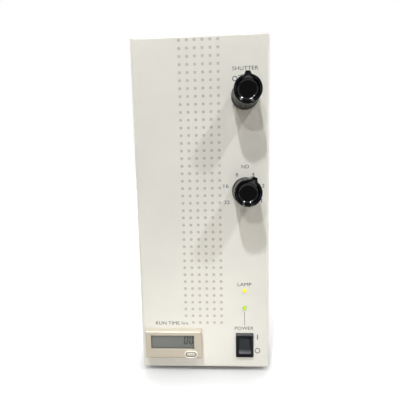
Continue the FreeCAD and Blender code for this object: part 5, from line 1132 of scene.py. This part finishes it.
# ------------------------------------------------------------------ hour counter
def oval(shape, centre, half_w, half_h, y):
    """Ring of points with round ends, about a middle in X and Z."""
    reach = half_w - half_h
    points = []
    for angle in turn_angles(48):
        x = half_h * math.cos(angle) + (reach if math.cos(angle) > 0.0 else -reach)
        points.append(shape.verts.new((centre.x + x, y, centre.z + half_h * math.sin(angle))))
    return points


SEGMENTS = {
    "0": "abcdef", "1": "bc", "2": "abdeg", "3": "abcdg", "4": "bcfg",
    "5": "acdfg", "6": "acdefg", "7": "abc", "8": "abcdefg", "9": "abcdfg",
}


def bar_outline(first, last, width):
    """Six corners of a bar between two corners of a seven-segment digit."""
    way = Vector((last[0] - first[0], last[1] - first[1])).normalized()
    side = Vector((-way.y, way.x)) * width / 2.0
    gap, step = way * width * 0.12, way * width / 2.0
    start, end = Vector(first) + gap, Vector(last) - gap
    return [start, start + step + side, end - step + side, end, end - step - side, start + step - side]


def digit(shape, figure, low, sizes, near, far):
    """Seven-segment figure that leans to the right, with its lower left corner at (x, z)."""
    wide, tall = sizes.digit_width, sizes.digit_height
    half = sizes.bar / 2.0
    left, right, bottom, mid, top = half, wide - half, half, tall / 2.0, tall - half
    bars = {
        "a": ((left, top), (right, top)), "b": ((right, mid), (right, top)), "c": ((right, bottom), (right, mid)),
        "d": ((left, bottom), (right, bottom)), "e": ((left, bottom), (left, mid)), "f": ((left, mid), (left, top)),
        "g": ((left, mid), (right, mid)),
    }
    for name in SEGMENTS[figure]:
        corners = bar_outline(*bars[name], sizes.bar)
        leaning = [(low[0] + x + sizes.digit_slant * z / tall, low[1] + z) for x, z in corners]
        slab(shape, leaning, near, far)


class ILLUMINATOR_OT_counter(bpy.types.Operator):
    """Digits of the hour counter, its window border of painted shade, and the ring round its button with painted
    shade in its slot
    """
    bl_idname = "illuminator.counter"
    bl_label = "Hour Counter"

    def execute(self, context):
        sizes = context.scene.illuminator_counter
        glass_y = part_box("counter_display")[0].y
        shape = bmesh.new()
        for i, figure in enumerate(sizes.figures):
            low = (sizes.figures_left + i * sizes.figures_step, PANEL_LOW.z + sizes.figures_base)
            digit(shape, figure, low, sizes, glass_y + 0.01 * MM, glass_y - 0.03 * MM)
        settle(piece_from("counter_digits", shape, "display_ink"), "root", "housing_grey")
        settle(self.border(sizes), "root", "housing_grey")
        gap, ring, sunk = sizes.ring_gap, sizes.ring, -0.02 * MM
        rows = ((gap, sunk), (gap + 0.1 * MM, 0.45 * MM), (gap + 0.35 * ring, 0.65 * MM),
                (gap + 0.7 * ring, 0.5 * MM), (gap + ring, sunk))
        settle(self.round_button("counter_button_ring", rows, "ring_cream", 60.0), "root", "counter_beige")
        # Dark film in the gap between the button and its ring: painted shade of the gap.
        inner, outer, proud = 0.05 * MM, gap + 0.07 * MM, 0.03 * MM
        rows = ((inner, proud), (outer, proud), (outer, sunk), (inner, sunk))
        settle(self.round_button("counter_button_slot", rows, "slot_brown", 40.0), "root", "counter_beige")
        return {"FINISHED"}

    def border(self, sizes):
        """Dark border inside the display's window, widest at the bottom: painted shade of the window's recess."""
        low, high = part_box("counter_display")
        lap = 1.18 * MM
        near, far = low.y + 0.01 * MM, low.y - 0.02 * MM
        left, right, base, top = low.x + lap, high.x - lap, low.z + lap, high.z - lap
        edge, foot = sizes.edge, 1.4 * sizes.edge
        shape = bmesh.new()
        for sides in (
            (left, base, left + edge, top), (right - edge, base, right, top),
            (left + edge, base, right - edge, base + foot), (left + edge, top - edge, right - edge, top),
        ):
            slab(shape, square(*sides), near, far)
        return piece_from("counter_display_border", shape, "display_edge")

    def round_button(self, name, rows, finish, angle):
        """Closed oval form round the reset button, from rows of (distance from it, height over the bezel)."""
        low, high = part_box("counter_reset_button")
        bezel_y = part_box("counter_bezel")[0].y
        centre = (low + high) / 2.0
        half = Vector((high.x - low.x, high.z - low.z)) / 2.0
        shape = bmesh.new()
        join_loop(shape, [oval(shape, centre, half.x + out, half.y + out, bezel_y - rise) for out, rise in rows])
        return piece_from(name, shape, finish, angle)


# ------------------------------------------------------------------ screws
def solids_of(node):
    """Points of each separate solid of a node."""
    shape = bmesh.new()
    shape.from_mesh(frame["nodes"][node].data)
    bmesh.ops.remove_doubles(shape, verts=shape.verts, dist=1e-6)
    left, found = set(shape.verts), []
    while left:
        queue = [left.pop()]
        spots = []
        while queue:
            vertex = queue.pop()
            spots.append(vertex.co.copy())
            for edge in vertex.link_edges:
                other = edge.other_vert(vertex)
                if other in left:
                    left.discard(other)
                    queue.append(other)
        found.append(spots)
    shape.free()
    return found


def screw_place(spots):
    """Middle of a screw's head, the way it faces and its whole length."""
    low, high = extent(spots)
    size = high - low
    axis = max(range(3), key=lambda k: size[k])
    centre = (low + high) / 2.0
    ends = []
    for value, sign in ((low[axis], -1.0), (high[axis], 1.0)):
        near = [s for s in spots if abs(s[axis] - value) < 1e-5]
        reach = max(math.hypot(*[(s - centre)[k] for k in range(3) if k != axis]) for s in near)
        ends.append((reach, value, sign))
    reach, value, sign = max(ends)
    centre[axis] = value
    way = Vector((0.0, 0.0, 0.0))
    way[axis] = sign
    return centre, way, size[axis]


def screw_places(node):
    """Places of a node's screws in an order that is the same in each run, so that each keeps its chance turn."""
    places = [screw_place(spots) for spots in solids_of(node)]
    return sorted(places, key=lambda place: [round(value, 6) for value in place[0]])


def screw_mesh(sizes, full_length, sunk, slotted):
    """Screw about +Z with its head's top at zero, cut by a cross or a slot."""
    head, shank = sizes.head, sizes.shank
    if sunk:
        profile = [(0.0, 0.0), (0.0, head - 0.15 * MM), (-0.1 * MM, head), (-1.4 * MM, shank)]
    else:
        dome, thickness = 0.9 * MM, 1.9 * MM
        profile = [(-dome * (1.0 - math.cos(a)), head * math.sin(a)) for a in quarter_angles(6)]
        profile += [(-thickness, head), (-thickness, shank)]
    profile += [(-full_length, shank), (-full_length, 0.0)]
    shape = bmesh.new()
    lathe(shape, profile, (0.0, 0.0, 0.0), (0.0, 0.0, 1.0), 28)
    body = bare_object("screw", shape)
    wide, long, above = sizes.recess_half, sizes.recess, 0.4 * MM
    if slotted:
        past = 1.2 * head
        outline = square(-past, -wide, past, wide)
    else:
        outline = [(-long, -wide), (-wide, -wide), (-wide, -long), (wide, -long), (wide, -wide), (long, -wide),
                   (long, wide), (wide, wide), (wide, long), (-wide, long), (-wide, wide), (-long, wide)]
    shape = bmesh.new()
    taper = 1.0 if slotted else 0.55
    rings = []
    for z, scale in ((above, 1.05), (-sizes.recess_depth, taper)):
        rings.append([shape.verts.new((x * scale, y * scale, z)) for x, y in outline])
    join_rings(shape, rings[1], rings[0])
    shape.faces.new(rings[0])
    shape.faces.new(rings[1][::-1])
    cutter = bare_object("recess", shape)
    cut = body.modifiers.new("recess", "BOOLEAN")
    cut.operation = "DIFFERENCE"
    cut.object = cutter
    mesh = applied(body)
    bpy.data.objects.remove(body)
    bpy.data.objects.remove(cutter)
    return mesh


def bare_object(name, shape):
    """Working object that is removed again."""
    made = bpy.data.objects.new(name, closed_mesh(name, shape, 1e-8))
    bpy.context.scene.collection.objects.link(made)
    return made


def screw_tree():
    """One screw on every point, facing the point's way and turned by chance."""
    inputs = {"Screw": ("Object", None), "Finish": ("Material", None), "Seed": ("Int", 7)}
    work, given, out = growth("Placed Screws", inputs)
    give = given.outputs
    screw = work.add("GeometryNodeObjectInfo", {"Object": give["Screw"]}).outputs["Geometry"]
    way = work.add("GeometryNodeInputNamedAttribute", {"Name": "way"}, data_type="FLOAT_VECTOR").outputs[0]
    face = work.add("FunctionNodeAlignRotationToVector", {"Vector": way}, axis="Z").outputs[0]
    chance = work.add("FunctionNodeRandomValue", {2: 0.0, 3: 3.1, "Seed": give["Seed"]}, data_type="FLOAT").outputs[1]
    spin = work.add("FunctionNodeAxisAngleToRotation", {"Axis": (0.0, 0.0, 1.0), "Angle": chance}).outputs[0]
    turned = work.add("FunctionNodeRotateRotation", {0: face, 1: spin}, rotation_space="LOCAL").outputs[0]
    inputs = {"Points": give["Geometry"], "Instance": screw, "Rotation": turned}
    placed = work.add("GeometryNodeInstanceOnPoints", inputs).outputs[0]
    end_growth(work, out, placed, give["Finish"])
    return work.tree


class ILLUMINATOR_OT_screws(bpy.types.Operator):
    """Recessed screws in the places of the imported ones"""
    bl_idname = "illuminator.screws"
    bl_label = "Screws"

    def execute(self, context):
        sizes = context.scene.illuminator_screws
        tree = screw_tree()
        rows = (
            ("case_screws", "root", True, False, "bare_steel"),
            ("rear_panel_screws", "root", False, False, "bare_steel"),
            ("hatch_screws", "hatch", True, True, "bright_steel"),
            ("fan_screws", "root", False, False, "bare_steel"),
        )
        for node, body, sunk, slotted, finish in rows:
            places = screw_places(node)
            seed = bpy.data.meshes.new("seed")
            seed.from_pydata([p[0] for p in places], [], [])
            ways = seed.attributes.new("way", "FLOAT_VECTOR", "POINT")
            ways.data.foreach_set("vector", [c for p in places for c in p[1]])
            pattern = bpy.data.objects.new("pattern", screw_mesh(sizes, places[0][2], sunk, slotted))
            values = {"Screw": pattern, "Finish": material(finish), "Seed": sizes.seed}
            screws = grown(node + "_cut", seed, tree, values, finish, 30.0)
            bpy.data.objects.remove(pattern)
            settle(screws, body, finish, node)
        return {"FINISHED"}


# ------------------------------------------------------------------ fan guard
def guard_tree():
    """Round-wire rings and four arms about +Z."""
    inputs = {
        "Rings": ("Int", 5), "First": ("Float", 0.0044), "Last": ("Float", 0.036), "Wire": ("Float", 0.0008),
        "Arm Start": ("Float", 0.0044), "Arm End": ("Float", 0.049), "Middle": ("Vector", (0.0, 0.0, 0.0)),
    }
    work, given, out = growth("Wire Guard", inputs)
    give = given.outputs
    profile = work.add("GeometryNodeCurvePrimitiveCircle", {"Resolution": 10, "Radius": give["Wire"]}).outputs[0]
    line = work.add("GeometryNodeMeshLine", {"Count": give["Rings"], "Offset": (0.0, 0.0, 0.0)}).outputs[0]
    order = work.add("GeometryNodeInputIndex").outputs[0]
    share = work.math("DIVIDE", order, work.math("SUBTRACT", give["Rings"], 1.0))
    gap = work.math("SUBTRACT", give["Last"], give["First"])
    radius = work.math("ADD", give["First"], work.math("MULTIPLY", share, gap))
    circle = work.add("GeometryNodeCurvePrimitiveCircle", {"Resolution": 96, "Radius": 1.0}).outputs[0]
    rings = work.add("GeometryNodeInstanceOnPoints", {"Points": line, "Instance": circle, "Scale": radius}).outputs[0]
    rings = work.add("GeometryNodeRealizeInstances", {0: rings}).outputs[0]
    behind = work.math("MULTIPLY", give["Wire"], -1.7)
    start = work.add("ShaderNodeCombineXYZ", {0: give["Arm Start"], 2: behind}).outputs[0]
    end = work.add("ShaderNodeCombineXYZ", {0: give["Arm End"], 2: behind}).outputs[0]
    arm = work.add("GeometryNodeCurvePrimitiveLine", {"Start": start, "End": end}).outputs[0]
    four = work.add("GeometryNodeMeshLine", {"Count": 4, "Offset": (0.0, 0.0, 0.0)}).outputs[0]
    turn = work.math("MULTIPLY_ADD", order, math.pi / 2.0)
    work.feed(turn.node.inputs[2], math.pi / 4.0)
    turned = work.add("ShaderNodeCombineXYZ", {2: turn}).outputs[0]
    arms = work.add("GeometryNodeInstanceOnPoints", {"Points": four, "Instance": arm, "Rotation": turned}).outputs[0]
    arms = work.add("GeometryNodeRealizeInstances", {0: arms}).outputs[0]
    both = work.add("GeometryNodeJoinGeometry")
    work.feed(both.inputs[0], rings)
    work.feed(both.inputs[0], arms)
    inputs = {"Curve": both.outputs[0], "Profile Curve": profile, "Fill Caps": True}
    wires = work.add("GeometryNodeCurveToMesh", inputs).outputs[0]
    inputs = {"Geometry": wires, "Translation": give["Middle"], "Rotation": (-math.pi / 2.0, 0.0, 0.0)}
    placed = work.add("GeometryNodeTransform", inputs).outputs[0]
    end_growth(work, out, placed, material("bright_steel"))
    return work.tree


class ILLUMINATOR_OT_guard(bpy.types.Operator):
    """Wire guard over the fan"""
    bl_idname = "illuminator.guard"
    bl_label = "Fan Guard"

    def execute(self, context):
        sizes = context.scene.illuminator_guard
        low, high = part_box("fan_guard")
        centre = (low + high) / 2.0
        inset, arm_short, eye_back = 3.6 * MM, 3.0 * MM, 2.1 * MM
        reach = math.hypot(high.x - centre.x - inset, high.z - centre.z - inset)
        values = {
            "Rings": sizes.rings, "First": sizes.first, "Last": sizes.last, "Wire": sizes.wire,
            "Arm Start": sizes.first, "Arm End": reach - arm_short,
            "Middle": (centre.x, high.y - sizes.wire, centre.z),
        }
        wires = grown("fan_guard_wires", bpy.data.meshes.new("seed"), guard_tree(), values, "bright_steel")
        settle(wires, "root", "bright_steel", "fan_guard")
        shape = bmesh.new()
        for i in range(4):
            angle = math.pi / 4.0 + i * math.pi / 2.0
            ear = (centre.x + reach * math.cos(angle), centre.z + reach * math.sin(angle))
            wire_eye(shape, ear, high.y - eye_back, sizes.eye, sizes.wire)
        settle(piece_from("fan_guard_eyes", shape, "bright_steel", 60.0), "root", "bright_steel")
        return {"FINISHED"}


def wire_eye(shape, centre, y, radius, wire):
    """Closed wire eye about a Y axis at (x, z)."""
    rings = []
    for angle in turn_angles(32):
        out = Vector((math.cos(angle), 0.0, math.sin(angle)))
        ring = []
        for tilt in turn_angles(10):
            spot = out * (radius + wire * math.cos(tilt)) + Vector((0.0, wire * math.sin(tilt), 0.0))
            ring.append(shape.verts.new(Vector((centre[0], y, centre[1])) + spot))
        rings.append(ring)
    join_loop(shape, rings)


# ------------------------------------------------------------------ add-on
class ILLUMINATOR_PT_panel(bpy.types.Panel):
    """Sidebar panel with one button for each step"""
    bl_label = "Illuminator"
    bl_idname = "ILLUMINATOR_PT_panel"
    bl_space_type = "VIEW_3D"
    bl_region_type = "UI"
    bl_category = "Illuminator"

    def draw(self, context):
        for step in STEPS:
            self.layout.operator(step.bl_idname)


SETTINGS = {
    "illuminator_stage": IlluminatorStage,
    "illuminator_print": IlluminatorPrint,
    "illuminator_knobs": IlluminatorKnobs,
    "illuminator_switch": IlluminatorSwitch,
    "illuminator_counter": IlluminatorCounter,
    "illuminator_screws": IlluminatorScrews,
    "illuminator_guard": IlluminatorGuard,
}
STEPS = (
    ILLUMINATOR_OT_stage, ILLUMINATOR_OT_finishes, ILLUMINATOR_OT_printing, ILLUMINATOR_OT_knobs,
    ILLUMINATOR_OT_switch, ILLUMINATOR_OT_counter, ILLUMINATOR_OT_screws, ILLUMINATOR_OT_guard,
)


def register():
    """Add the settings, the steps and the panel to Blender."""
    for name, kind in SETTINGS.items():
        bpy.utils.register_class(kind)
        setattr(bpy.types.Scene, name, PointerProperty(type=kind))
    for kind in (*STEPS, ILLUMINATOR_PT_panel):
        bpy.utils.register_class(kind)


def unregister():
    """Take them away again."""
    for kind in reversed((*STEPS, ILLUMINATOR_PT_panel)):
        bpy.utils.unregister_class(kind)
    for name, kind in reversed(SETTINGS.items()):
        delattr(bpy.types.Scene, name)
        bpy.utils.unregister_class(kind)


def main():
    """Run every step."""
    register()
    for step in STEPS:
        family, name = step.bl_idname.split(".")
        getattr(getattr(bpy.ops, family), name)()


if __name__ == "__main__":
    main()
